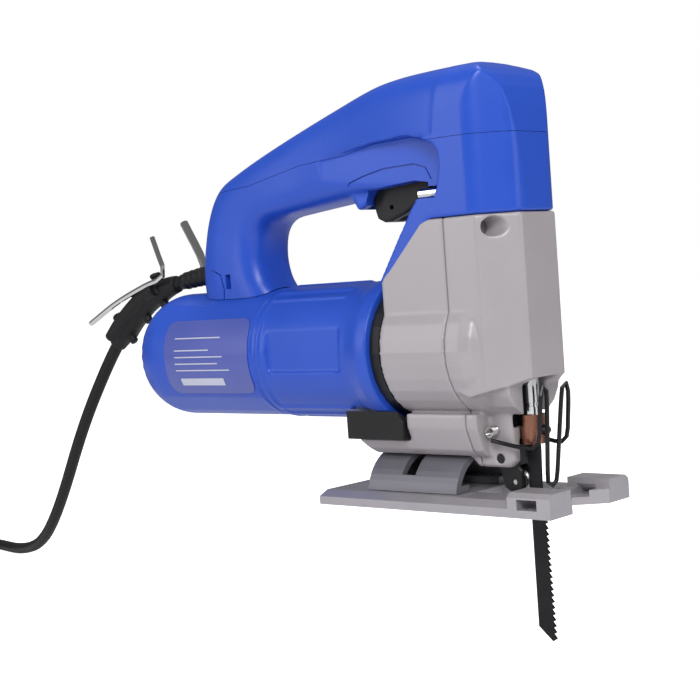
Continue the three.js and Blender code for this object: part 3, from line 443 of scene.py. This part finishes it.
def machined(name, material, width=0.3, segments=2, angle=30):
    """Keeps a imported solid, with its flat faces merged, its edges eased and its finish on."""
    piece = cad[name]
    flat = piece.modifiers.new("merge_flats", "DECIMATE")
    flat.decimate_type = "DISSOLVE"
    flat.angle_limit = math.radians(1)
    if width:
        ease_edges = piece.modifiers.new("ease_edges", "BEVEL")
        ease_edges.width = width * MM
        ease_edges.segments = segments
        ease_edges.limit_method = "ANGLE"
        ease_edges.angle_limit = math.radians(angle)
        ease_edges.harden_normals = False
    for face in piece.data.polygons:
        face.use_smooth = True
    piece.data.set_sharp_from_angle(angle=math.radians(angle))
    piece.data.materials.clear()
    piece.data.materials.append(material)
    return piece


machined("cord_tie", rubber, 0.3)

# ---- Key holder and keys ------------------------------------------------------------------------
# Rubber clip moulded to grip the cord, with studs across it and a sleeve on each side that holds a
# bright hexagon key, one for the clamp screw and one for the set screw.


def tumble(piece, voxel, rounds, amount=0.5):
    """Rounds every edge of a closed piece: an even skin of small cells, then eased."""
    cells = piece.modifiers.new("cells", "REMESH")
    cells.mode = "VOXEL"
    cells.voxel_size = voxel * MM
    eased = piece.modifiers.new("eased", "SMOOTH")
    eased.factor = amount
    eased.iterations = rounds
    return settle(piece)


holder_line = smooth_line([
    (-190, 0, 108.6), (-200, 0, 106.4), (-213, 0, 101.4), (-225, 0, 94.4), (-236, 0, 86), (-246, 0, 76.6),
], 10)


def holder_taper(share):
    return 0.72 + 0.28 * min(1, share / 0.3, (1 - share) / 0.15)


holder = rod_along("key_clip", holder_line, 6.4, sides=24, taper=holder_taper)
for side in (-1, 1):
    sleeve_line = [p + Vector((0, side * 6.6, 1.2)) for p in holder_line[12:-3]]
    join_or_cut(holder, rod_along("key_sleeve", sleeve_line, 3.9, sides=16), "UNION")
for spot in (14, 27, 41):
    middle = holder_line[spot]
    run = (holder_line[spot + 1] - middle).normalized()
    rise = Vector((run.z, 0, -run.x))
    stem = [middle + rise * (share * 9.6) for share in (-1, -0.6, 0, 0.6, 1)]
    knob = [middle + rise * (10.8 - below) for below in (2.2, 0.8, 0)]
    for line, radius in ((stem, 2.4), (knob, 3.3)):
        join_or_cut(holder, rod_along("key_stud", line, radius, sides=14), "UNION")
tumble(holder, 0.6, 4)
dress(shade(holder, 60), rubber, "housing", "key_holder", slot="black_rubber")
chrome = finish_of("bright_chrome", (0.62, 0.62, 0.63), (0.72, 0.72, 0.73), 0.13, metallic=1.0,
                   grain_mm=0.3, grain_depth=0.002, patch_mm=8, dust=0.0, spread=0.04)
machined("hex_key_small", chrome, 0)
machined("hex_key_large", chrome, 0)

# ---- Sole plate ---------------------------------------------------------------------------------
# Die-cast light alloy plate with turned-up edges and a slot for a fence, milled flat underneath.
# It is clamped under the tool and leans to either side for bevel cuts.

sole_alloy = finish_of("sole_alloy", (0.34, 0.32, 0.35), (0.44, 0.42, 0.45), 0.36, metallic=0.35,
                       grain_mm=0.8, grain_depth=0.02, patch_mm=22, dust=0.05)
machined("base_plate", sole_alloy, 0.45, 3)

# ---- Tilt bracket and its screws ----------------------------------------------------------------
# Pressed steel saddle with a closed rear end, painted dark gray and screwed to the plate. The case
# sits on its round back, and one clamp screw from below holds the set angle.

bracket_paint = finish_of("bracket_paint", (0.150, 0.146, 0.172), (0.205, 0.20, 0.23), 0.38, metallic=0.35,
                          grain_mm=0.5, grain_depth=0.015, dust=0.04)
plain_steel = finish_of("plain_steel", (0.50, 0.49, 0.48), (0.62, 0.61, 0.60), 0.30, metallic=1.0,
                        grain_mm=0.25, grain_depth=0.006, patch_mm=9, dust=0.02)
machined("tilt_bracket", bracket_paint, 0.4, 3)


def prism(name, outline, axis, low, high):
    """An outline in mm carried along an axis. X takes (y, z), Y takes (x, z) and Z takes (x, y)."""
    spot = {
        "X": lambda a, b, c: (c, a, b),
        "Y": lambda a, b, c: (a, c, b),
        "Z": lambda a, b, c: (a, b, c),
    }[axis]
    count = len(outline)
    verts = [spot(a, b, c) for c in (low, high) for a, b in outline]
    faces = [tuple(range(count)), tuple(range(count, 2 * count))]
    faces += [(k, (k + 1) % count, count + (k + 1) % count, count + k) for k in range(count)]
    return face_outwards(mesh_object(name, verts, faces))


arch = [(18.2 * math.cos(math.radians(a)), 3 + 18.2 * math.sin(math.radians(a))) for a in range(12, 169, 6)]
wall = prism("bracket_end_wall", arch, "X", -42.4, -41.2)
dress(wall, bracket_paint, "shoe", slot="bracket_steel")
for number in range(1, 5):
    machined("bracket_screw_%d" % number, plain_steel, 0.2)

# ---- Motor inside the barrel --------------------------------------------------------------------
# Laminated stator with two copper windings, a wound armature on ball bearings, brushes in brass
# holders and a moulded cooling fan. All of it is hidden while the tool is whole.

copper_wire = finish_of("copper_wire", (0.52, 0.20, 0.085), (0.68, 0.29, 0.13), 0.30, metallic=1.0,
                        grain_mm=0.6, grain_depth=0.03, dust=0.0)
brass = finish_of("brass", (0.60, 0.42, 0.16), (0.70, 0.52, 0.22), 0.30, metallic=1.0, dust=0.0)
laminations = finish_of("laminations", (0.17, 0.17, 0.18), (0.26, 0.26, 0.27), 0.48, metallic=0.9,
                        grain_mm=0.4, grain_depth=0.03, dust=0.0)
black_nylon = finish_of("black_nylon", (0.006, 0.006, 0.007), (0.014, 0.014, 0.015), 0.42,
                        grain_mm=0.3, grain_depth=0.018, patch_mm=14, dust=0.02, specular=0.3)
for node in ("stator_core", "armature_core"):
    machined(node, laminations, 0)
for node in ("field_coil_lower", "field_coil_upper", "commutator"):
    machined(node, copper_wire, 0)
for node in ("brush_holder_right", "brush_holder_left", "plunger_bush_lower", "plunger_bush_upper"):
    machined(node, brass, 0)
for node in ("front_bearing", "rear_bearing", "armature_shaft", "gear_shaft", "drive_gear", "crank_pin"):
    machined(node, plain_steel, 0)
machined("cooling_fan", black_nylon, 0)
machined("baffle_ring", black_nylon, 0.4)
machined("switch_body", black_nylon, 0.5)
machined("trigger_pin", plain_steel, 0.2)

# ---- Gear case ----------------------------------------------------------------------------------
# Two die-cast halves joined on a plane across the tool, tumbled so that their edges are round, and
# sprayed warm gray. Two screws in deep wells hold the front half on.


def copy_of(name, new_name):
    """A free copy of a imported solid, under its own name."""
    data = cad[name].data.copy()
    piece = bpy.data.objects.new(new_name, data)
    collection.objects.link(piece)
    return piece


cast_paint = finish_of("cast_paint", (0.36, 0.335, 0.35), (0.42, 0.39, 0.41), 0.38, metallic=0.12,
                       grain_mm=0.7, grain_depth=0.035, patch_mm=26, dust=0.06)
AXIS_Z = 70.5
WEB_EDGE = [(-19.2, 101.4), (-12.7, 107.1), (-2.7, 117.3), (9.3, 128.6)]
for half in ("gear_housing_rear", "gear_housing_front"):
    shell = copy_of(half, half + "_cast")
    if half == "gear_housing_rear":
        spine_cut = prism("spine_cut", WEB_EDGE + [(9.3, 140), (-45, 140), (-45, 101.4)], "Y", -40, 40)
        join_or_cut(shell, spine_cut, "DIFFERENCE")
    tumble(shell, 0.75, 4)
    dress(shade(shell, 60), cast_paint, "housing", half, slot="gear_case_paint")
# The two case screws take the dark laminations finish as painted shade: the dark screw heads stand in for the
# shadow inside their deep wells.
machined("case_screw_right", laminations, 0.2)
machined("case_screw_left", laminations, 0.2)
machined("bevel_clamp_screw", plain_steel, 0.3)
duct_side = [(-53, 30), (-18.4, 30), (-18.4, 38), (-23, 46), (-53, 46)]
duct = prism("dust_duct_moulding", duct_side, "Y", -21.6, 21.6)
seat_profile = [(-60, 0), (-60, 34.7), (-10, 34.7), (-10, 0)]
barrel_seat = turned("barrel_seat", seat_profile, (0, 0, AXIS_Z), "X", 96)
join_or_cut(duct, barrel_seat, "DIFFERENCE")
tumble(duct, 0.6, 4)
port_side = [(-60, 32.2), (-26, 32.2), (-26, 36.6), (-60, 36.6)]
join_or_cut(duct, prism("dust_port", port_side, "Y", -9, 9), "DIFFERENCE")
dress(shade(duct, 50), black_nylon, "housing", "dust_duct", slot="black_plastic")

# ---- Barrel -------------------------------------------------------------------------------------
# Blue glass-filled nylon tube round the motor, injection moulded, with a flange towards the gear
# case, a sunk panel on each side and raised ribs along the top and the bottom.

BARREL_R = 32.0


def block(name, x0, x1, y0, y1, z0, z1):
    return prism(name, [(x0, y0), (x1, y0), (x1, y1), (x0, y1)], "Z", z0, z1)


def side_prism(name, outline, side, near, far):
    """A prism of (x, z) points on one side of the tool, from |y| near to |y| far."""
    return prism(name, outline, "Y", *sorted((side * near, side * far)))


def rounded(x0, x1, z0, z1, r, steps=6):
    """Outline of a rectangle with round corners."""
    outline = []
    low_x, high_x, low_z, high_z = x0 + r, x1 - r, z0 + r, z1 - r
    corners = ((high_x, high_z, 0), (low_x, high_z, 90), (low_x, low_z, 180), (high_x, low_z, 270))
    for cx, cz, start in corners:
        for step in range(steps + 1):
            a = math.radians(start + 90 * step / steps)
            outline.append((cx + r * math.cos(a), cz + r * math.sin(a)))
    return outline


blue_nylon = finish_of("blue_nylon", (0.014, 0.068, 0.47), (0.020, 0.086, 0.55), 0.34, grain_mm=0.4,
                       grain_depth=0.016, patch_mm=34, dust=0.02, specular=0.42)
barrel_profile = [
    (-101, 28.9), (-101, 32.7), (-98.6, 32.7), (-97.8, 32), (-58, 32), (-46, 32.1), (-41, 32.5),
    (-37.5, 33.3), (-34.5, 34.2), (-32, 34.4), (-27, 34.4), (-27, 28.9), (-101, 28.9),
]
barrel = turned("barrel_moulding", barrel_profile, (0, 0, AXIS_Z), "X", 120)
for side in (-1, 1):
    join_or_cut(barrel, side_prism("panel_cut", rounded(-94, -46, 62, 83, 2), side, 29.6, 40), "DIFFERENCE")
for degrees in (-90, -66, -54, 54, 66, 90):
    for side in (-1, 1):
        a = math.radians(degrees)
        out = (side * math.cos(a), math.sin(a))
        across = (-out[1], out[0])
        corner = [(out[0] * r + across[0] * w, AXIS_Z + out[1] * r + across[1] * w) for r, w in
                  ((31, -1.3), (33, -0.9), (33, 0.9), (31, 1.3))]
        join_or_cut(barrel, prism("barrel_rib", corner, "X", -98, -50), "UNION")
tumble(barrel, 0.7, 4)
dress(shade(barrel, 60), blue_nylon, "housing", "motor_housing", slot="blue_shell")

# ---- Rear cap -----------------------------------------------------------------------------------
# The motor's blue end cap, moulded in the same nylon. Its round rim carries cooling slots across
# the back, and shallow flats run along it.

CAP_END, CAP_BEND = -202, 24
cap_profile = [(-198.8, 0), (CAP_END, 0)]
for degrees in range(0, 91, 6):
    a = math.radians(degrees)
    cap_profile.append((CAP_END + CAP_BEND - CAP_BEND * math.cos(a), 8 + CAP_BEND * math.sin(a)))
cap_profile += [
    (-105, 32), (-104.4, 31.2), (-101.2, 31.2), (-101.2, 28.9),
    (-176, 28.9), (-190, 25), (-198, 12), (-198.8, 0),
]
cap = turned("rear_cap_moulding", cap_profile, (0, 0, AXIS_Z), "X", 120)
for number in range(5):
    level = AXIS_Z + (number - 2) * 7.4
    slot_cut = prism("slot_cut", rounded(-22, 22, level - 1.5, level + 1.5, 1.4), "X", -203, -192)
    join_or_cut(cap, slot_cut, "DIFFERENCE")
for number in range(8):
    level = AXIS_Z - 24 + number * 5.4
    for side in (-1, 1):
        notch = rounded(-204, -188.5, level - 1.1, level + 1.1, 1.0)
        join_or_cut(cap, side_prism("scallop", notch, side, 24.5, 34), "DIFFERENCE")
for degrees in (-128, -52, 44, 136):
    out = Vector((math.cos(math.radians(degrees)), math.sin(math.radians(degrees))))
    across = Vector((-out.y, out.x))
    reach_and_width = ((31.35, -12), (36, -12), (36, 12), (31.35, 12))
    corner = [tuple(out * r + across * w + Vector((0, AXIS_Z))) for r, w in reach_and_width]
    join_or_cut(cap, prism("cap_flat", corner, "X", -210, -106), "DIFFERENCE")
tumble(cap, 0.7, 3)
dress(shade(cap, 60), blue_nylon, "housing", "rear_cap", slot="blue_shell")

# ---- Label plate --------------------------------------------------------------------------------
# Printed film on the right of the cap, left plain: a violet ground, one blank white field and thin
# rules. It wraps the round cap and its corners are cut round.


def film(name, x0, x1, low, high, lift, thick, corner, columns=24, rows=16):
    """A thin patch round the cap's side from angle low to high, in degrees up from -Y."""
    verts, faces = [], []
    span = math.radians(high - low) * BARREL_R
    for layer in (lift, lift + thick):
        for row in range(rows + 1):
            along = span * (0.5 - 0.5 * math.cos(math.pi * row / rows))
            edge = min(along, span - along)
            pull = corner - math.sqrt(max(0.0, corner ** 2 - (corner - edge) ** 2)) if edge < corner else 0
            a = math.radians(low) + along / BARREL_R
            for column in range(columns + 1):
                x = x0 + pull + (x1 - x0 - 2 * pull) * column / columns
                r = BARREL_R + layer
                verts.append((x, -r * math.cos(a), AXIS_Z + r * math.sin(a)))
    wide, sheet_count = columns + 1, (rows + 1) * (columns + 1)
    for row in range(rows):
        for column in range(columns):
            k = row * wide + column
            upper = sheet_count + k
            faces.append((k, k + 1, k + wide + 1, k + wide))
            faces.append((upper, upper + wide, upper + wide + 1, upper + 1))
    rim = list(range(wide)) + [r * wide + columns for r in range(1, rows + 1)]
    rim += [rows * wide + c for c in range(columns - 1, -1, -1)]
    rim += [r * wide for r in range(rows - 1, 0, -1)]
    for a, b in zip(rim, rim[1:] + rim[:1]):
        faces.append((a, sheet_count + a, sheet_count + b, b))
    return shade(face_outwards(mesh_object(name, verts, faces)), 50)


label_violet = finish_of("label_violet", (0.060, 0.085, 0.36), (0.078, 0.105, 0.42), 0.30, grain_mm=0.6,
                         grain_depth=0.004, dust=0.03, coat=0.3)
label_white = finish_of("label_white", (0.46, 0.48, 0.62), (0.56, 0.58, 0.70), 0.35, grain_mm=0.6,
                        grain_depth=0.004, dust=0.03, coat=0.3)
dress(film("label_ground", -168, -106, -35, 35, 0.1, 0.4, 6), label_violet,
      "housing", "rating_label", slot="label_film")
dress(film("label_field", -158, -126, -26, -19, 0.55, 0.08, 0.4), label_white, "housing", slot="label_film")
for number, (angle, end) in enumerate(((-12, -120), (-6, -128), (0, -124), (6, -134), (17, -126))):
    dress(film("label_rule_%d" % (number + 1), -160, end, angle, angle + 1.1, 0.55, 0.08, 0.2), label_white,
          "housing", slot="label_film")

# ---- Handle shells ------------------------------------------------------------------------------
# A closed D-handle in the same blue nylon: a lower shell that carries the trigger, saddles the barrel
# and runs down the case's spine, and an upper shell that meets it on a seam.

HANDLE_RINGS = [
    # outer x, z; inner x, z; half width
    (-157.5, 92, -103, 91, 15.6), (-157.5, 101, -107, 101, 15.8), (-157.4, 108, -111.8, 108.5, 16),
    (-156.6, 117, -114, 117.5, 16), (-154.2, 128, -113.4, 126.5, 16), (-150.8, 138.5, -111, 132.2, 16.2),
    (-145.8, 148.5, -106.5, 135.6, 16.4), (-138.5, 156.3, -101, 137, 16.6), (-126.5, 161.9, -94, 137.7, 16.8),
    (-108, 168.8, -84, 138.6, 17), (-85, 176.4, -70, 139.8, 17.2), (-57, 184.7, -53, 141.2, 18.4),
    (-31, 191.6, -35, 141.4, 20.6), (-14, 193.7, -16, 141.4, 23), (3, 194.3, 0, 141.6, 25),
    (17, 194.4, 16, 141.6, 26.2), (30, 194.4, 30, 141.6, 26.2),
]
FLANK_TOP = [(16, 151), (16, 156), (13, 160.5), (6, 163.6), (-4, 165.8), (-26, 165.2), (-62, 161.5)]


def soft_loft(name, rings, power=3.5, sides=56):
    """A closed skin over soft-cornered rings that stand between an outer and an inner point."""
    verts, faces = [], []
    for ox, oz, ix, iz, half in rings:
        cx, cz = (ox + ix) / 2, (oz + iz) / 2
        ux, uz = (ox - ix) / 2, (oz - iz) / 2
        for k in range(sides):
            a = 2 * math.pi * k / sides
            c, s = math.cos(a), math.sin(a)
            u = math.copysign(abs(c) ** (2 / power), c)
            v = math.copysign(abs(s) ** (2 / power), s)
            verts.append((cx + ux * u, half * v, cz + uz * u))
    for i in range(len(rings) - 1):
        for k in range(sides):
            n = (k + 1) % sides
            faces.append((i * sides + k, i * sides + n, (i + 1) * sides + n, (i + 1) * sides + k))
    faces += [tuple(range(sides)), tuple(range((len(rings) - 1) * sides, len(rings) * sides))]
    return face_outwards(mesh_object(name, verts, faces))


def between(rings, steps):
    """More rings between the given ones, on a smooth line through them."""
    made = []
    for i in range(len(rings) - 1):
        a, b, c, d = rings[max(0, i - 1)], rings[i], rings[i + 1], rings[min(len(rings) - 1, i + 2)]
        for step in range(steps):
            t = step / steps
            made.append(tuple(0.5 * (2 * q + (r - p) * t + (2 * p - 5 * q + 4 * r - s) * t * t
                                     + (3 * q - p - 3 * r + s) * t ** 3) for p, q, r, s in zip(a, b, c, d)))
    return made + [rings[-1]]


def make_handle():
    handle = soft_loft("handle", between(HANDLE_RINGS, 4))
    # Below the seam the flank steps in to the trigger's zone.
    grip_flank = [(-62, 120), (12.2, 120), (12.2, 138), (14.5, 142)] + FLANK_TOP
    for side in (-1, 1):
        join_or_cut(handle, side_prism("flank_step", grip_flank, side, 17.4, 40), "DIFFERENCE")
    head_side = [
        (2.9, 128.4), (-3, 134.5), (-8, 140), (-10, 150), (-4, 162), (13, 164), (17, 194.6), (25, 194.4),
        (31, 193.4), (36.5, 191), (41, 187), (44.2, 181.6), (46.2, 174), (47.4, 163), (48, 145), (48, 128.4),
    ]
    head = prism("head", head_side, "Y", -26.4, 26.4)
    plan = [
        (-20, -26.4), (30, -26.4), (32.6, -25.9), (35, -24.9), (37.2, -23.3),
        (44.6, -15.9), (46.4, -13.7), (47.5, -11.2), (48, -8.4),
    ]
    plan += [(x, -y) for x, y in reversed(plan)]
    join_or_cut(head, prism("head_plan", plan, "Z", 120, 200), "INTERSECT")
    crown = [(-26.4, 120), (26.4, 120)]
    for degrees in range(0, 181, 6):
        c, s = math.cos(math.radians(degrees)), math.sin(math.radians(degrees))
        crown.append((26.4 * math.copysign(abs(c) ** 0.55, c), 168 + 26.4 * s ** 0.55))
    join_or_cut(head, prism("head_crown", crown, "X", -30, 60), "INTERSECT")
    head_flank = [
        (-62, 120), (0.9, 120), (2.6, 128.6), (0.9, 133.2), (4.4, 134.7), (12.6, 138.3), (13.4, 140.4),
    ] + FLANK_TOP
    for side in (-1, 1):
        join_or_cut(head, side_prism("flank_step", head_flank, side, 17.4, 40), "DIFFERENCE")
    join_or_cut(handle, head, "UNION")
    # The web runs from the head down the case's spine to the barrel.
    web_side = [
        (9.6, 128.9), (14, 131), (14, 139), (3, 138.4), (-1.2, 133.6), (-10.8, 119.5),
        (-21.6, 103.6), (-21.6, 101.4), (-19, 101.4), (-12.5, 107.1), (-2.5, 117.3),
    ]
    join_or_cut(handle, prism("spine_web", web_side, "Y", -26.4, 26.4), "UNION")
    # A shallow nose ahead of the grip's underside, round the trigger's mouth.
    nose_side = [
        (-50, 150), (-46.6, 140.5), (-43.8, 135.8), (-40, 137.5), (-30, 141.5), (-4, 143), (-4, 152),
    ]
    join_or_cut(handle, prism("bezel_nose", nose_side, "Y", -13.5, 13.5), "UNION")
    tumble(handle, 0.8, 9)
    # Crisp work after the rounding: feet, trigger room, button and cord holes.
    saddle = turned("saddle", [(-210, 0), (-210, 32.35), (20, 32.35), (20, 0)], (0, 0, AXIS_Z), "X", 96)
    join_or_cut(handle, saddle, "DIFFERENCE")
    case_room = [(x + 0.15, z - 0.15) for x, z in WEB_EDGE] + [(60, 128.45), (60, 80), (-19, 80)]
    join_or_cut(handle, prism("case_room", case_room, "Y", -40, 40), "DIFFERENCE")
    mouth = [
        (-39.8, 125), (-38.9, 138.2), (-37.3, 141.8), (-34.9, 144.6), (-24.4, 145.2),
        (-5.6, 146.4), (2.5, 145), (2.9, 139.6), (-4, 137), (-14, 125),
    ]
    for side in (-1, 1):
        join_or_cut(handle, side_prism("trigger_mouth", mouth, side, 7, 30), "DIFFERENCE")
    join_or_cut(handle, block("trigger_room", -43.5, 2.5, -8.3, 8.3, 120, 156), "DIFFERENCE")
    pin_bore = [(-9.5, 0), (-9.5, 3.1), (15.3, 3.1), (15.3, 0)]
    join_or_cut(handle, turned("pin_room", pin_bore, (0, -10.6, 140.2), "X", 32), "DIFFERENCE")
    join_or_cut(handle, block("pin_side", -9.5, 13, -30, -10.6, 137.3, 143.1), "DIFFERENCE")
    button_bore = [(9, 0), (9, 5), (40, 5), (40, 0)]
    join_or_cut(handle, turned("button_room", button_bore, (-52, 0, 161), "Y", 32), "DIFFERENCE")
    relief_bore = [(-190, 0), (-190, 5.8), (-148, 5.8), (-148, 7.3), (-137, 7.3), (-137, 0)]
    join_or_cut(handle, turned("relief_room", relief_bore, (0, 0, 112), "X", 40), "DIFFERENCE")
    return handle


def ribbon(points, width):
    """Outline of a narrow band along a line of (x, z) points."""
    left, right = [], []
    for i, (x, z) in enumerate(points):
        ax, az = points[max(0, i - 1)]
        bx, bz = points[min(len(points) - 1, i + 1)]
        dx, dz = bx - ax, bz - az
        size = math.hypot(dx, dz)
        left.append((x - dz / size * width / 2, z + dx / size * width / 2))
        right.append((x + dz / size * width / 2, z - dx / size * width / 2))
    return left + right[::-1]


handle = make_handle()
join_or_cut(handle, block("foot_slot", -134.8, -131.2, -30, -11, 103.8, 111.2), "DIFFERENCE")
bezel_line = [
    (-46.2, 136), (-46.6, 140), (-47, 145.4), (-44.4, 148.8), (-35, 151.2),
    (-23.5, 153.2), (-5, 153.6), (1.5, 151.6), (4.5, 146),
]
foot_line = [(-137.5, 96), (-136.5, 103.8), (-138.4, 111), (-143, 113.4), (-149, 113.5)]
for side in (-1, 1):
    join_or_cut(handle, side_prism("bezel_groove", ribbon(bezel_line, 0.7), side, 16.6, 30), "DIFFERENCE")
    join_or_cut(handle, side_prism("foot_groove", ribbon(foot_line, 0.9), side, 14.9, 30), "DIFFERENCE")

SEAM = [(80, 162), (5, 162.6), (-5, 165.4), (-26, 165), (-47, 161.7), (-76, 160.2), (-112, 154), (-180, 150)]
HALF_GAP = 0.1
lower = bpy.data.objects.new("handle_lower_moulding", handle.data.copy())
collection.objects.link(lower)
below_seam = [(x, z - HALF_GAP) for x, z in SEAM] + [(-180, 60), (80, 60)]
above_seam = [(x, z + HALF_GAP) for x, z in SEAM] + [(-180, 260), (80, 260)]
join_or_cut(lower, prism("below_seam", below_seam, "Y", -60, 60), "INTERSECT")
join_or_cut(handle, prism("above_seam", above_seam, "Y", -60, 60), "INTERSECT")
handle.name = "handle_upper_moulding"
dress(shade(lower, 45), blue_nylon, "housing", "handle_lower_shell", slot="blue_shell")
dress(shade(handle, 45), blue_nylon, "housing", "handle_upper_shell", slot="blue_shell")

# ---- Trigger, dial, lock button and spring ------------------------------------------------------
# Black nylon trigger on a cross pin with a knurled speed wheel set into it, a lock button on the
# left of the grip, and the bright return spring beside them.

machined("trigger", black_nylon, 0.5, 3)
machined("lock_button", black_nylon, 0.3)
machined("trigger_spring", chrome, 0.3)
wheel_profile = [(-2.4, 0), (-2.4, 5.6), (-1.9, 6.1), (1.9, 6.1), (2.4, 5.6), (2.4, 0)]
wheel = turned("speed_wheel", wheel_profile, (-28, 0, 136.2), "Y", 72)
for vertex in wheel.data.vertices:
    dx, dz = vertex.co.x + 0.028, vertex.co.z - 0.1362
    if math.hypot(dx, dz) > 0.0058:
        factor = 1 + 0.035 * math.cos(36 * math.atan2(dz, dx))
        vertex.co.x, vertex.co.z = -0.028 + dx * factor, 0.1362 + dz * factor
dress(shade(wheel), black_nylon, "dial", "speed_dial", slot="black_plastic")

# ---- Plunger, blade clamp and blade -------------------------------------------------------------
# Ground and polished plunger with a copper-coloured clamp collar and a socket set screw. The blade
# is blackened high-carbon steel with ground teeth.

blade_steel = finish_of("blade_steel", (0.010, 0.010, 0.012), (0.022, 0.022, 0.025), 0.36, metallic=0.4,
                        grain_mm=0.35, grain_depth=0.01, patch_mm=6, dust=0.0, specular=0.3)
black_steel = finish_of("black_steel", (0.008, 0.008, 0.009), (0.018, 0.018, 0.020), 0.32, metallic=0.3,
                        grain_mm=0.3, grain_depth=0.01, patch_mm=7, dust=0.0, specular=0.4)
clamp_copper = finish_of("clamp_copper", (0.26, 0.115, 0.080), (0.40, 0.19, 0.13), 0.27, metallic=1.0,
                         grain_mm=0.25, grain_depth=0.006, patch_mm=5, dust=0.0)
machined("plunger", chrome, 0.25)
machined("blade_clamp", clamp_copper, 0.35)
machined("clamp_set_screw", black_steel, 0.2)
machined("saw_blade", blade_steel, 0)
seal_side = [(-8, 35.8), (8, 35.8), (8, 53), (6.8, 55.6), (4, 56.7), (-4, 56.7), (-6.8, 55.6), (-8, 53)]
seal = tumble(prism("plunger_seal_lip", seal_side, "X", 27.2, 32), 0.5, 4)
dress(shade(seal, 50), rubber, "housing", "plunger_seal", slot="black_rubber")

# ---- Guide roller, its fork and the wire guard --------------------------------------------------
# A black forged fork hangs from a pin in the case and holds a grooved steel roller behind the
# blade. A bent wire guard stands in front on two coil springs.

machined("roller_fork", black_steel, 0.3)
machined("guide_roller", plain_steel, 0.2)
machined("fork_pivot_pin", black_steel, 0.3)
machined("wire_guard", black_steel, 0)
for label, side in (("right", -1), ("left", 1)):
    turns, wire = 5, 0.42
    helix = []
    for step in range(turns * 16 + 1):
        a = 2 * math.pi * step / 16
        along = 10.3 + wire + (5.1 - 2 * wire) * step / (turns * 16)
        helix.append((25 + 2.1 * math.cos(a), side * along, 33.8 + 2.1 * math.sin(a)))
    coil = rod_along("guard_coil_%s" % label, helix, wire, sides=8)
    dress(coil, plain_steel, "housing", "guard_spring_" + label, slot="chrome")
